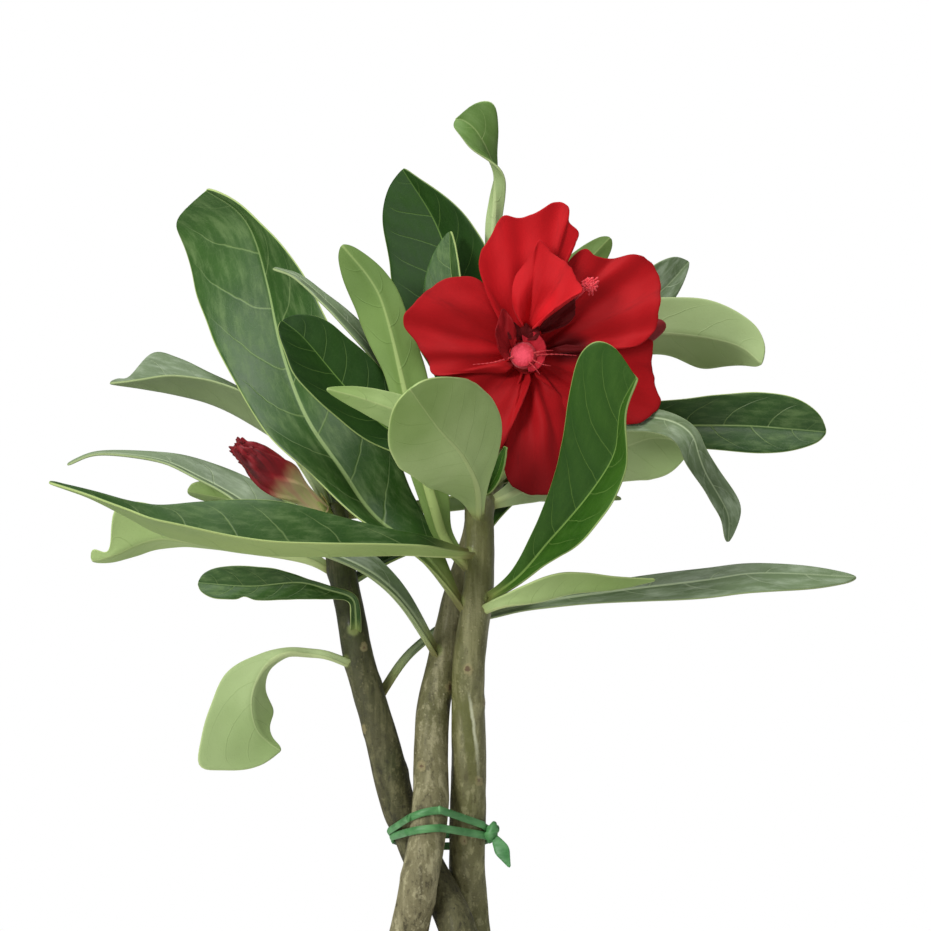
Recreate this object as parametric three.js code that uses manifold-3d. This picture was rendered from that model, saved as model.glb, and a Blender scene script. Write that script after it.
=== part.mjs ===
// Potted desert rose (Adenium): three braided stems tied together, leathery leaves,
// one open double flower and two closed buds, in a plain clay pot filled with soil.
// Millimetres, +Z up. The origin is the centre of the pot's underside, -Y is the front.
import * as THREE from "three";
import { mergeVertices } from "three/addons/utils/BufferGeometryUtils.js";
import Module from "manifold-3d";

const wasm = await Module();
wasm.setup();

// ---------------------------------------------------------------- driving dimensions
const clearance = 0.3; // left between pieces that touch

const pot = {
  height: 120,
  footRadius: 51,
  wallRadius: 69.5, // outside, under the rim band
  rimRadius: 76,
  rimHeight: 23,
  innerFoot: 46,
  innerMouth: 70,
  floor: 6,
  facets: 30,
  holeRadius: 5,
  holeRing: 26,
  holes: 4,
};

const soil = { level: 107, mound: 5, relief: 1.1, rings: 4, facets: 24 };

const bladeSize = { rows: 9, columns: 4, thickness: 0.9, ridge: 1.2, tip: 0.5, reach: 0.14, crowding: 1.2, round: 14 };

const stemSize = { sides: 12, step: 13, base: 76, baseRadius: 6.2 };

// the braid below the tie: each strand swings side to side once and to and fro twice a turn
const braid = { top: 262, from: 270, turnPerMm: 2.2, sideTop: 12, sideBase: 16, depthTop: 7.5, depthBase: 10.5, points: 14 };

// stem centre lines above the braid, from the top down, with the radius at the tip and at the tie
const stems = {
  left: {
    phase: 158.5,
    tipRadius: 3.4,
    radius: 4.9,
    points: [
      [-30.5, 2, 391], [-29.5, 2, 386], [-28.4, 1, 375.5], [-25.7, 1, 362], [-22.9, 1, 347.5], [-17.3, 2, 328.3],
      [-13, 5, 310.8], [-9.5, 6, 302.7], [-5.4, 4.5, 293.3], [0, 1, 284], [2.7, -3, 278], [4.8, -5, 271],
    ],
  },
  middle: {
    phase: -81.5,
    tipRadius: 3.4,
    radius: 5,
    points: [
      [15.6, 3.6, 411], [12.6, 4.6, 400], [9.7, 5, 390], [8.1, 5, 380.8], [3.7, 4, 366.4], [1.3, 4, 356.4],
      [-0.6, 3.5, 347.5], [-3, 2, 336.7], [-3.8, 0, 325.6], [-3.8, -2, 314.6], [-4, -4, 309], [-5.3, -6, 297.6],
      [-6.9, -7.8, 289.6], [-8, -7.2, 284], [-9.2, -5, 278], [-10.7, -2, 270.7],
    ],
  },
  right: {
    phase: 41.5,
    tipRadius: 3.8,
    radius: 4.9,
    points: [
      [9.7, -5, 393.6], [9.1, -4.8, 387], [9.1, -4, 369.4], [6.4, -3, 347.4], [6.4, 1, 325.6], [6.2, 3, 310.8],
      [5.9, 6.4, 293.3], [6.4, 9.8, 285], [6.9, 10.2, 278], [7.3, 8.4, 270.4],
    ],
  },
};

// Leaves. Each grows from a stem's centre at a height and follows its midrib's points.
// turn: degrees that the upper side is turned about the midrib away from the front,
// in equal steps from base to tip. fold: degrees each half rises from flat.
// halves: widths of the left and right half in equal steps. round: large is a blunt end.
// bites: side, place, span and depth of each notch in an edge. A plainer leaf has its
// width, the share of its length where it is widest, and blunt, small for a round tip.
const up = [0, 0, 1];
const leaves = {
  leaf_tall_left: {
    on: "right", at: 359,
    rib: [[-5, -9, 376], [-19, -6, 387], [-28, 3, 400], [-38, 13, 415], [-45, 24, 434], [-49, 32, 452], [-53, 37, 466],
      [-58, 40, 474], [-67, 42, 480]],
    turn: [70, 45, 5, -30, -60], fold: [20], round: 30,
    halves: [[1.5, 6, 7.5, 10, 12.5, 13.5, 15.5, 18.5, 22, 27.5, 30], [1.5, 7, 13, 15.5, 17, 18, 17.5, 16.5, 12.5, 5, 3.5]],
  },
  leaf_broad_left: {
    on: "middle", at: 392, rib: [[-4, -5, 405], [-16, -6, 411], [-27, -6, 422], [-38, -5, 435], [-44, -4, 440]],
    turn: [30], fold: [20],
    halves: [[1.5, 4, 6.5, 8, 8, 9.8, 11.4, 12.8, 13, 10.5, 8], [1.5, 3, 4, 5.5, 8.5, 9.9, 10.9, 10.8, 9.4, 8.3, 6]],
  },
  leaf_slim_left: {
    on: "right", at: 391, rib: [[3, -22, 401], [-8, -34, 411], [-20, -38, 416], [-31, -40, 419]],
    width: 11, turn: [180], fold: [15], widest: 0.45, blunt: [0.7, 0.7],
  },
  leaf_front_round: {
    on: "right", at: 385, rib: [[8, -20, 395], [4, -40, 402], [-2, -58, 408], [-9, -74, 417]],
    turn: [185], fold: [10],
    halves: [[1.5, 2.4, 4.8, 9.5, 14.2, 16.3, 16.5, 15.8, 14.2, 11.3, 8], [1.5, 4.6, 9.5, 11.6, 12.3, 12.9, 13.5, 14.4, 13.4, 10.8, 8]],
  },
  leaf_pale_upright: {
    on: "right", at: 370,
    rib: [[0, -8, 381], [-3, -13, 390], [-7, -13.5, 404], [-11, -9.7, 422], [-16, -2.5, 442], [-20, 1, 451], [-28, 4, 461]],
    turn: [175], fold: [20],
    halves: [[1.5, 2.5, 4.5, 5.7, 6.4, 6.8, 6.8, 5.8, 5.5, 5, 4], [1.5, 2.5, 3.5, 4, 4.2, 4.4, 5, 7.2, 8.4, 8, 6]],
  },
  leaf_dark_upright: {
    on: "middle", at: 400, rib: [[7.5, 9.5, 409], [7, 14, 431], [-1, 26, 465], [-12, 32, 485]],
    turn: [-28], fold: [15],
    halves: [[1.5, 5, 8, 11, 14, 17, 17.5, 17.1, 16, 14.4, 11], [1.5, 5, 8, 10, 11.5, 13.2, 14.4, 12.4, 9.2, 5.4, 2]],
  },
  leaf_dark_small: {
    on: "middle", at: 405, rib: [[7.5, 5, 411.5], [6.5, 8, 426], [2, 12, 451], [1, 16, 466]],
    width: 19, turn: [-46], fold: [30], widest: 0.6, blunt: [0.8, 0.8],
  },
  leaf_top_curled: {
    on: "middle", at: 406.5,
    rib: [[12.6, 12, 413.5], [14, 19, 439], [13, 20, 464], [13.9, 20, 475], [14.2, 20, 482], [12.5, 20, 486.6], [10.6, 18, 490.6],
      [7.8, 17, 494.6], [4.5, 17.5, 497], [2.6, 18, 497]],
    turn: [190, 190, 190, 190, 190, 190, 185, 120, 20, -10], fold: [20], round: 24, petiole: 1.6, rows: 16,
    halves: [[1.6, 2.2, 2.6, 3, 3, 2.4, 2.2, 2.4, 3.5, 5.5, 5], [1.6, 2.2, 2.6, 3, 3, 2.4, 2.2, 2.2, 2.4, 7.3, 9]],
  },
  leaf_left_upper: {
    on: "left", at: 386, rib: [[-40, 17, 405], [-49, 25, 412], [-64, 31, 420], [-81, 34, 424], [-93, 35, 426]],
    turn: [88, 85, 75, 62], fold: [43], bites: [[1, 0.95, 0.03, 0.7]],
    halves: [[1.5, 3, 5.5, 8, 10, 11.5, 11.6, 11.3, 10.6, 6, 2], [1.5, 3, 4.5, 6, 7.5, 8.4, 8.6, 9.4, 12, 12.5, 2]],
  },
  leaf_left_arched: {
    on: "middle", at: 348,
    rib: [[-11, -15, 364], [-20, -18, 372], [-29, -15.4, 376.2], [-38, -13.2, 379.4], [-47, -7.2, 385.4], [-56, 0, 392.5], [-66, 4, 398],
      [-77, 7, 403], [-94, 9, 405], [-103, 10, 402]],
    turn: [55, 55, 55, 65], fold: [25],
    halves: [[1.5, 2.5, 4, 6, 7, 7, 6, 4, 2.5, 1.5, 0.8], [1.5, 2.5, 4, 6, 7.5, 8, 7.8, 6, 2.8, 1.3, 0.8]],
  },
  leaf_left_short: {
    on: "left", at: 380, rib: [[-39, 9, 388], [-53, 10, 392], [-70, 10, 395]],
    width: 9, turn: [130], fold: [15], widest: 0.75, blunt: [0.4, 0.4],
  },
  leaf_left_long: {
    on: "right", at: 377,
    rib: [[-4, -22, 377], [-12, -28, 377], [-38, -36, 376], [-54, -38, 377], [-73, -37, 381], [-83, -36, 386],
      [-93, -36, 391], [-104, -36, 395]],
    turn: [62, 62, 60, 55], fold: [40],
    halves: [[1.5, 4, 8, 10.5, 13, 15, 16, 17, 12, 6, 1.5], [1.5, 4.4, 6.1, 9.7, 13.4, 15.4, 14.4, 10.9, 4.8, 2.2, 1]],
  },
  leaf_left_forked: {
    on: "left", at: 371, rib: [[-37, 6, 376], [-53, 10, 379], [-67, 10, 381], [-76, 8, 382], [-82, 8, 381], [-91, 8, 377], [-96, 9, 376]],
    turn: [135], fold: [30], bites: [[0, 0.93, 0.055, 0.9]],
    halves: [[1.5, 2, 3, 4.5, 6, 7, 7.5, 8.5, 12.2, 14, 8], [1.5, 2, 2.5, 3, 3.5, 4, 5, 8.5, 9.5, 7.2, 5]],
  },
  leaf_left_lower: {
    on: "left", at: 353, rib: [[-24, -8, 361], [-25, -11, 365], [-31, -13, 367], [-39, -14, 369], [-52, -15, 368], [-66, -13, 369]],
    turn: [0, 0, 0, 10], fold: [15], stalk: 0.3, bites: [[0, 0.69, 0.025, 0.35]],
    halves: [[1.2, 2.2, 3.3, 4.5, 4.7, 4.4, 4.1, 3.8, 4.1, 4.5, 4], [1, 1, 1, 1.2, 2.6, 4.3, 5.1, 5.5, 5.3, 4.8, 4]],
  },
  leaf_hooked: {
    on: "left", at: 347, rib: [[-31, -5, 350], [-36.2, -6, 350.6], [-42.8, -9, 350.5], [-48, -10, 347.3], [-51, -11, 342.2],
      [-52, -12, 336.3], [-50.7, -12, 330], [-47.8, -11, 326.5], [-44, -11, 323.8]],
    turn: [80, 110, 150, 160, 160], fold: [25], round: 40,
    halves: [[1.5, 1.2, 1.2, 1.2, 1.2, 1.2, 1.2, 1.2, 1.5, 2.4, 3.6, 5.8, 8, 9.2, 10.5, 12.8, 15.5, 18.5, 14, 10, 6],
      [1.5, 2.5, 2.5, 2.5, 2.5, 2.6, 4.5, 7.5, 7.5, 3, 1.5]],
  },
  leaf_front_right: {
    on: "right", at: 363, rib: [[19, -14, 370], [27, -20, 379], [36, -28, 389], [42, -33, 397], [45, -36, 403], [45.6, -40, 409],
      [46.3, -43, 414.5], [50, -48, 421.5]],
    turn: [-25, -28, -40, -50], fold: [32], round: 30, stalk: 0.1,
    halves: [[1.5, 2.3, 3.5, 5.3, 8, 10.8, 13.5, 15, 15.5, 16.5, 18], [1.5, 2.5, 5, 8.7, 13.2, 16.5, 15.5, 10, 7.5, 6, 3]],
  },
  leaf_right_upper: {
    on: "middle", at: 400, rib: [[21.8, 6.2, 405.5], [31, 19, 423.5], [45, 28, 436], [57, 28, 439], [70, 26, 438], [81, 23, 435], [87, 20, 430]],
    turn: [195], fold: [25], petiole: 1.3,
    halves: [[1.3, 2, 3, 4.5, 5.5, 6.2, 6.8, 7.6, 10.8, 8, 4], [1.3, 3, 5, 7, 8.5, 9.5, 9.8, 10.2, 10.8, 9.3, 9]],
  },
  leaf_right_grey: {
    on: "middle", at: 404.5, rib: [[20.2, 10.4, 411], [30, 32, 430], [48, 42, 444], [60, 44, 452], [68, 46, 460.5]],
    turn: [0], fold: [10], round: 30, petiole: 1.1,
    halves: [[1.1, 2, 3, 4, 5, 6, 6.8, 7.4, 7.5, 7, 5], [1.1, 2, 3, 4, 4.8, 5.4, 6, 6, 5.4, 4, 1.5]],
  },
  leaf_right_slim: {
    on: "middle", at: 408, rib: [[16.8, 12, 416.5], [22, 26, 440], [35, 44, 455.5], [46, 51, 467.5]],
    width: 11, turn: [180], fold: [10], widest: 0.7, blunt: [0.5, 0.5], petiole: 1,
  },
  leaf_right_broad: {
    on: "middle", at: 396.3, rib: [[20.7, 4.5, 400], [42, 20, 411.5], [59, 22, 413], [81, 20, 413], [94, 18, 412], [104, 16, 411]],
    turn: [0], fold: [20],
    halves: [[1.5, 3, 4.5, 5.5, 6.5, 7, 7.6, 8.8, 9.9, 10.4, 9], [1.5, 3, 4, 5, 5.5, 6, 6.5, 7.4, 8.2, 7.6, 6]],
  },
  leaf_right_pale: {
    on: "right", at: 389, rib: [[18, -3, 393], [31, 6, 399], [50, 12, 407], [58, 12, 409], [67, 11, 407]],
    turn: [180], fold: [10],
    halves: [[1.5, 3, 4.5, 5.5, 6.5, 7.5, 8.2, 9.7, 11.3, 10.8, 8], [1.5, 3, 5, 7, 8.5, 9.5, 9.5, 8.5, 6, 3, 1.5]],
  },
  leaf_right_drooping: {
    on: "middle", at: 394.5, rib: [[18, -0.6, 400.8], [34, 0, 412], [50, -1, 414], [60, -6, 413], [66, -11, 409], [68, -12, 403], [70, -11, 398],
      [73, -10, 393], [76, -9, 387], [76, -7, 380]],
    turn: [-30, -30, -25, -10, 0, 0], fold: [20],
    halves: [[1.2, 2, 2.5, 3, 3, 2.5, 2, 2.2, 4, 4.8, 2.5], [1.2, 2.5, 3.5, 4.5, 5, 5, 5.5, 5, 3, 3, 2]],
  },
  leaf_right_folded: {
    on: "right", at: 361.5, rib: [[16, -11, 364], [25, -14, 365], [34, -15, 367], [46, -15, 368], [56, -14, 370]],
    turn: [-100], fold: [30],
    halves: [[1.5, 2, 3, 5, 6.5, 7, 6, 5, 3.5, 2, 0.8], [1.5, 2, 3.2, 5.6, 7.7, 8, 6.8, 5.6, 4.2, 2.4, 0.8]],
  },
  leaf_right_long: {
    on: "left", at: 336, rib: [[-12, 7, 348], [-6, 12, 354], [1, 13, 359], [11, 13, 361], [23, 9, 364], [43, 4, 367],
      [69, 0, 370], [85, -2, 372], [111, 0, 371]],
    turn: [-48], fold: [5], stalk: 0.2,
    halves: [[1.5, 2, 2.5, 3.2, 4, 4.6, 4.8, 4.4, 3.9, 3.7, 2.5], [1.5, 1.5, 2, 3, 4.2, 5.9, 7.5, 8.5, 8.5, 7, 4]],
  },
  leaf_middle_small: {
    on: "left", at: 369, rib: [[-18, 10, 375], [-10, 16, 379], [-1, 20, 383]],
    width: 7, turn: [-60], fold: [15], widest: 0.6, blunt: [0.5, 0.5],
  },
  leaf_middle_long: {
    on: "left", at: 388, rib: [[-12, 14, 390], [3, 18, 391], [20, 18, 393], [37, 16, 393], [48, 14, 393]],
    width: 14, turn: [-100], fold: [15], widest: 0.6, blunt: [0.6, 0.6],
  },
  leaf_tip_small: {
    on: "right", at: 392.5, rib: [[12.5, -12, 395.5], [14.5, -16.5, 399.5], [16, -18.5, 405]],
    width: 4, turn: [-30], fold: [30], widest: 0.5, blunt: [0.8, 0.8], petiole: 1,
  },
  leaf_grey_left: {
    on: "middle", at: 395, rib: [[1, 6, 407], [-8, 6, 419], [-18, 6, 431], [-26, 6, 440], [-32, 7, 446], [-40, 10, 453], [-47, 14, 456]],
    turn: [50], fold: [25],
    halves: [[1.5, 2, 3, 4, 5, 6, 7, 6, 4, 2.5, 1], [1.5, 2, 2.5, 3, 3, 3, 3.2, 2.6, 1.6, 1.2, 0.8]],
  },
  leaf_back_top: {
    on: "middle", at: 399.5, rib: [[14.5, 26, 416], [19, 58, 433], [21, 88, 440]], face: up,
    width: 24, turn: [0], fold: [20], widest: 0.65, blunt: [0.5, 0.5],
  },
  leaf_back_left: {
    on: "left", at: 385, rib: [[-34, 28, 401], [-41, 56, 417], [-46, 84, 424]], face: up,
    width: 22, turn: [0], fold: [20], widest: 0.65, blunt: [0.5, 0.5],
  },
  leaf_back_right: {
    on: "middle", at: 394.5, rib: [[16, 12, 400.5], [29, 32, 411], [43, 60, 424], [53, 86, 429]], face: up,
    width: 22, turn: [0], fold: [20], widest: 0.65, blunt: [0.5, 0.5],
  },
  leaf_back_middle: {
    on: "middle", at: 390, rib: [[7, 13, 401], [5, 34, 409], [-2, 62, 418], [-5, 90, 421]], face: up,
    width: 24, turn: [0], fold: [20], widest: 0.65, blunt: [0.5, 0.5],
  },
  leaf_back_lower_left: {
    on: "left", at: 376, rib: [[-34, 24, 384], [-48, 50, 388], [-61, 74, 389]], face: up,
    width: 20, turn: [0], fold: [20], widest: 0.65, blunt: [0.5, 0.5],
  },
  leaf_back_lower_right: {
    on: "middle", at: 380, rib: [[9.5, 14, 383], [13, 28, 390], [24, 54, 402], [38, 80, 407]], face: up,
    width: 20, turn: [0], fold: [20], widest: 0.65, blunt: [0.5, 0.5],
  },
};

// The open flower: a bent tube from the middle stem's tip to the throat, six outer
// petals that grow from the tube's mouth, and three smaller petals inside it.
const flower = {
  tube: [[17.2, 3.2, 416], [18.3, 2.6, 421], [20, -0.5, 427], [21, -5, 430], [21, -9, 430.5]],
  tubeRadius: [2, 2.3, 3, 4.2, 6.2],
  throat: [[21, -11, 430.5], [21, -7.5, 430.4], [21, -4.5, 429.8]],
  throatRadius: [5.3, 4.6, 2.2],
  columns: 4,
};
const petals = {
  top: { rib: [[21, -6, 434], [21, -9, 446], [22, -8, 458], [24, -4, 470]], width: 26, turn: [0], fold: [8], widest: 0.72, blunt: [0.3, 0.3], wave: [1.6, 3, 0.6] },
  upper_right: { rib: [[24, -6, 433], [36, -9, 443], [46, -8, 448], [56, -4, 450]], width: 29, turn: [-8], fold: [8], widest: 0.72, blunt: [0.32, 0.32], wave: [1.6, 3, 2] },
  lower_right: { rib: [[25, -6, 430], [38, -10, 426], [47, -10, 424], [57, -7, 422]], width: 23, turn: [8], fold: [8], widest: 0.72, blunt: [0.3, 0.3], wave: [1.4, 3, 1] },
  bottom: { rib: [[21, -6, 427], [22.5, -10, 413], [23, -12, 402], [23, -9, 393]], width: 17, turn: [0], fold: [8], widest: 0.72, blunt: [0.3, 0.3], wave: [1.2, 3, 3] },
  lower_left: { rib: [[18, -6, 428], [12, -10, 420], [8, -11, 413], [5, -9, 409]], width: 20, turn: [0], fold: [8], widest: 0.72, blunt: [0.3, 0.3], wave: [1.2, 3, 1.5] },
  left: { rib: [[17, -6, 431], [7, -10, 434], [-2, -12, 438], [-11, -8, 440]], width: 26, turn: [0], fold: [8], widest: 0.68, blunt: [0.32, 0.32], wave: [1.6, 3, 0] },
};
const innerPetals = {
  hood: { rib: [[21, -10.2, 433], [23.5, -17, 444], [27, -20, 451], [31, -17, 456]], width: 18, turn: [-15], fold: [-14], widest: 0.7, blunt: [0.25, 0.4], wave: [0.6, 2, 0] },
  curved: { rib: [[18.6, -10.2, 431.4], [15.5, -15, 435], [13, -17, 441], [11.5, -14, 447]], width: 7, turn: [30], fold: [25], widest: 0.5, blunt: [0.6, 0.6], wave: [0.3, 2, 1] },
  small: { rib: [[23.8, -10.2, 431.2], [25.5, -15, 433], [29, -16, 436.5]], width: 6.5, turn: [-20], fold: [15], widest: 0.6, blunt: [0.4, 0.4], wave: [0.3, 2, 2] },
};
const innerCollar = { radius: 3.6, back: -8.2, front: -10.8, centre: [21, 430.4] };
const stamens = { base: [21.1, -11.2, 430.2], tip: [21.3, -15.5, 430.2], baseRadius: 1.9, tipRadius: 0.5, ridges: 5 };
const tuft = { stalk: [[27.6, -13.5, 434.6], [32, -15, 440], [39, -14.5, 449.5]], radius: 2.7, lobes: 6, stalkRadius: 0.55 };
const calyx = { base: [15.9, 3.5, 412.6], top: [17, 3.2, 415.4], radius: 2, sepals: 5, sepalLength: 5.4, sepalWidth: 2.2 };

// The closed bud on the left stem's tip, and the one behind the flower.
const budLeft = {
  path: [[-34, -1.6, 389.5], [-38.6, -4.8, 393], [-45.8, -9, 398.4], [-51.1, -12.4, 402.6], [-56, -14, 406]],
  radius: [2.2, 3, 4.9, 4.3, 1],
  folds: 5, foldDepth: 0.11, twist: 1.1,
};
const budLeftCalyx = { base: [-30.8, 0, 386.6], top: [-33.4, -1.4, 388.9], radius: 1.9, sepals: 5, sepalLength: 5, sepalWidth: 2 };
const budBack = {
  path: [[15.2, 3.6, 408.8], [22, 5.6, 412.6], [34, 9, 422.6], [46, 13, 431], [52, 14, 436], [56.5, 14.5, 439], [60.5, 15, 441.5]],
  radius: [1.2, 1.2, 1.2, 1.5, 3, 2.8, 0.7],
};

// The green tie round the three stems: two flat loops, a knot and a loose tail.
const tie = {
  loops: [{ front: 308, back: 301.5, side: 303.8 }, { front: 303.2, back: 297.5, side: 300.6 }],
  directions: 18, sides: 6, halfThickness: 0.6, halfHeight: 1, slack: 0.9,
  knot: [12.6, 1.2, 302.2], knotRadius: [2, 2.2, 3.2],
  tail: [[13.2, 0.6, 301], [15.2, -1.5, 297.6], [17.4, -2.6, 292.8]], tailWidth: [1.1, 1.5, 0.8],
};

// ---------------------------------------------------------------- shape helpers
const vector = (p) => new THREE.Vector3(p[0], p[1], p[2]);
const radians = THREE.MathUtils.degToRad;
const mix = THREE.MathUtils.lerp;
const clamp = THREE.MathUtils.clamp;

function curveThrough(points) {
  const curve = new THREE.CatmullRomCurve3(points.map(vector), false, "catmullrom", 0.5);
  curve.arcLengthDivisions = 400;
  return curve;
}

// the value at share u of a list given at equal steps, joined by smooth steps
function along(values, u) {
  if (values.length === 1) return values[0];
  const last = values.length - 1;
  const i = Math.min(Math.floor(u * last), last - 1);
  const t = u * last - i;
  const slope = (k) => (values[Math.min(k + 1, last)] - values[Math.max(k - 1, 0)]) / (Math.min(k + 1, last) - Math.max(k - 1, 0));
  const t2 = t * t;
  const t3 = t2 * t;
  return (2 * t3 - 3 * t2 + 1) * values[i] + (t3 - 2 * t2 + t) * slope(i)
    + (3 * t2 - 2 * t3) * values[i + 1] + (t3 - t2) * slope(i + 1);
}

function meshOf(points, triangles) {
  const geometry = new THREE.BufferGeometry();
  geometry.setAttribute("position", new THREE.Float32BufferAttribute(points.flatMap((p) => [p.x, p.y, p.z]), 3));
  geometry.setIndex(triangles);
  return geometry;
}

// a closed solid through rings of points with the same count, turning right-handed about the way they run
function loft(rings) {
  const n = rings[0].length;
  const points = rings.flat();
  const triangles = [];
  for (let i = 0; i + 1 < rings.length; i += 1) {
    for (let j = 0; j < n; j += 1) {
      const a = i * n + j;
      const b = i * n + ((j + 1) % n);
      triangles.push(a, b, b + n, a, b + n, a + n);
    }
  }
  const first = points.push(centreOf(rings[0])) - 1;
  const last = points.push(centreOf(rings[rings.length - 1])) - 1;
  const top = (rings.length - 1) * n;
  for (let j = 0; j < n; j += 1) {
    const k = (j + 1) % n;
    triangles.push(first, k, j, last, top + j, top + k);
  }
  return meshOf(points, triangles);
}

function centreOf(ring) {
  const sum = ring.reduce((total, p) => total.add(p), new THREE.Vector3());
  return sum.divideScalar(ring.length);
}

// a ring of points round a centre, square to a direction
function ringAt(centre, direction, radius, sides, turn = 0) {
  const ahead = direction.clone().normalize();
  const reference = Math.abs(ahead.y) > 0.9 ? vector([1, 0, 0]) : vector([0, 1, 0]);
  const across = new THREE.Vector3().crossVectors(reference, ahead).normalize();
  const upward = new THREE.Vector3().crossVectors(ahead, across);
  return Array.from({ length: sides }, (_, j) => {
    const angle = turn + (2 * Math.PI * j) / sides;
    const r = typeof radius === "function" ? radius(angle) : radius;
    return centre.clone().addScaledVector(across, r * Math.cos(angle)).addScaledVector(upward, r * Math.sin(angle));
  });
}

// a round solid along a path, with its radius given in equal steps
function rod(path, radii, sides, steps) {
  const curve = curveThrough(path);
  const rings = [];
  for (let i = 0; i <= steps; i += 1) {
    const u = i / steps;
    rings.push(ringAt(curve.getPointAt(u), curve.getTangentAt(u), along(radii, u), sides));
  }
  return loft(rings);
}

// a rounded lump whose radii are given along X, Y and Z
function lump(centre, radii, detail) {
  const geometry = new THREE.IcosahedronGeometry(1, detail);
  geometry.scale(radii[0], radii[1], radii[2]);
  geometry.translate(centre[0], centre[1], centre[2]);
  return geometry;
}

function toSolid(geometry) {
  const plain = new THREE.BufferGeometry();
  plain.setAttribute("position", geometry.getAttribute("position").clone());
  if (geometry.index) plain.setIndex(geometry.index.clone());
  const merged = mergeVertices(plain, 1e-4);
  const index = merged.index.array;
  const kept = [];
  for (let i = 0; i < index.length; i += 3) {
    const [a, b, c] = [index[i], index[i + 1], index[i + 2]];
    if (a !== b && b !== c && c !== a) kept.push(a, b, c);
  }
  return new wasm.Manifold(new wasm.Mesh({
    numProp: 3,
    vertProperties: new Float32Array(merged.getAttribute("position").array),
    triVerts: new Uint32Array(kept),
  }));
}

function toGeometry(solid) {
  const mesh = solid.getMesh();
  const geometry = new THREE.BufferGeometry();
  geometry.setAttribute("position", new THREE.Float32BufferAttribute(Array.from(mesh.vertProperties), mesh.numProp));
  geometry.setIndex(Array.from(mesh.triVerts));
  return geometry;
}

// what is left of a piece where it meets a stem
function clearOf(strand, geometry) {
  return toGeometry(toSolid(geometry).subtract(toSolid(stemSolid(strand, clearance))));
}

const joined = (geometries) => toGeometry(geometries.map(toSolid).reduce((whole, next) => whole.add(next)));

// ---------------------------------------------------------------- stems
function braidPoints(strand) {
  const list = [];
  for (let i = 0; i < braid.points; i += 1) {
    const z = mix(braid.top, stemSize.base, i / (braid.points - 1));
    const share = (braid.top - z) / (braid.top - stemSize.base);
    const angle = radians(strand.phase - braid.turnPerMm * (braid.from - z));
    const side = mix(braid.sideTop, braid.sideBase, share);
    const depth = mix(braid.depthTop, braid.depthBase, share);
    list.push([side * Math.sin(angle), depth * Math.sin(2 * angle), z]);
  }
  return list;
}

for (const strand of Object.values(stems)) {
  strand.curve = curveThrough([...strand.points, ...braidPoints(strand)].reverse());
}

function centreAt(strand, height) {
  let low = 0;
  let high = 1;
  for (let i = 0; i < 30; i += 1) {
    const middle = (low + high) / 2;
    if (strand.curve.getPointAt(middle).z > height) high = middle;
    else low = middle;
  }
  return strand.curve.getPointAt(low);
}

function radiusAt(strand, z) {
  const tieHeight = 300;
  const tip = strand.points[0][2];
  if (z > tieHeight) return mix(strand.radius, strand.tipRadius, (z - tieHeight) / (tip - tieHeight));
  return mix(strand.radius, stemSize.baseRadius, Math.min(1, (tieHeight - z) / (tieHeight - stemSize.base - 20)));
}

function stemSolid(strand, extra = 0) {
  const length = strand.curve.getLength();
  const steps = Math.round(length / stemSize.step);
  const rings = [];
  for (let i = 0; i <= steps; i += 1) {
    const centre = strand.curve.getPointAt(i / steps);
    rings.push(ringAt(centre, strand.curve.getTangentAt(i / steps), radiusAt(strand, centre.z) + extra, stemSize.sides));
  }
  // the tip closes in a low dome
  const end = strand.curve.getPointAt(1);
  const ahead = strand.curve.getTangentAt(1);
  rings.push(ringAt(end.clone().addScaledVector(ahead, 1.4 + extra), ahead, strand.tipRadius * 0.6 + extra, stemSize.sides));
  return loft(rings);
}

// ---------------------------------------------------------------- blades
// how wide one half of a leaf or petal is at share v of its blade
function halfWidth(leaf, side, v) {
  let wide;
  if (leaf.halves) {
    wide = along(leaf.halves[side], v) * Math.sqrt(1 - v ** (leaf.round ?? bladeSize.round));
  } else {
    const blunt = leaf.blunt[side];
    const rise = (blunt * leaf.widest) / (1 - leaf.widest);
    wide = (leaf.width / 2) * (v ** rise * (1 - v) ** blunt) / (leaf.widest ** rise * (1 - leaf.widest) ** blunt);
  }
  for (const [bitten, place, span, depth] of leaf.bites ?? []) {
    if (bitten === side) wide *= 1 - depth * Math.exp(-(((v - place) / span) ** 2));
  }
  return wide;
}

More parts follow.
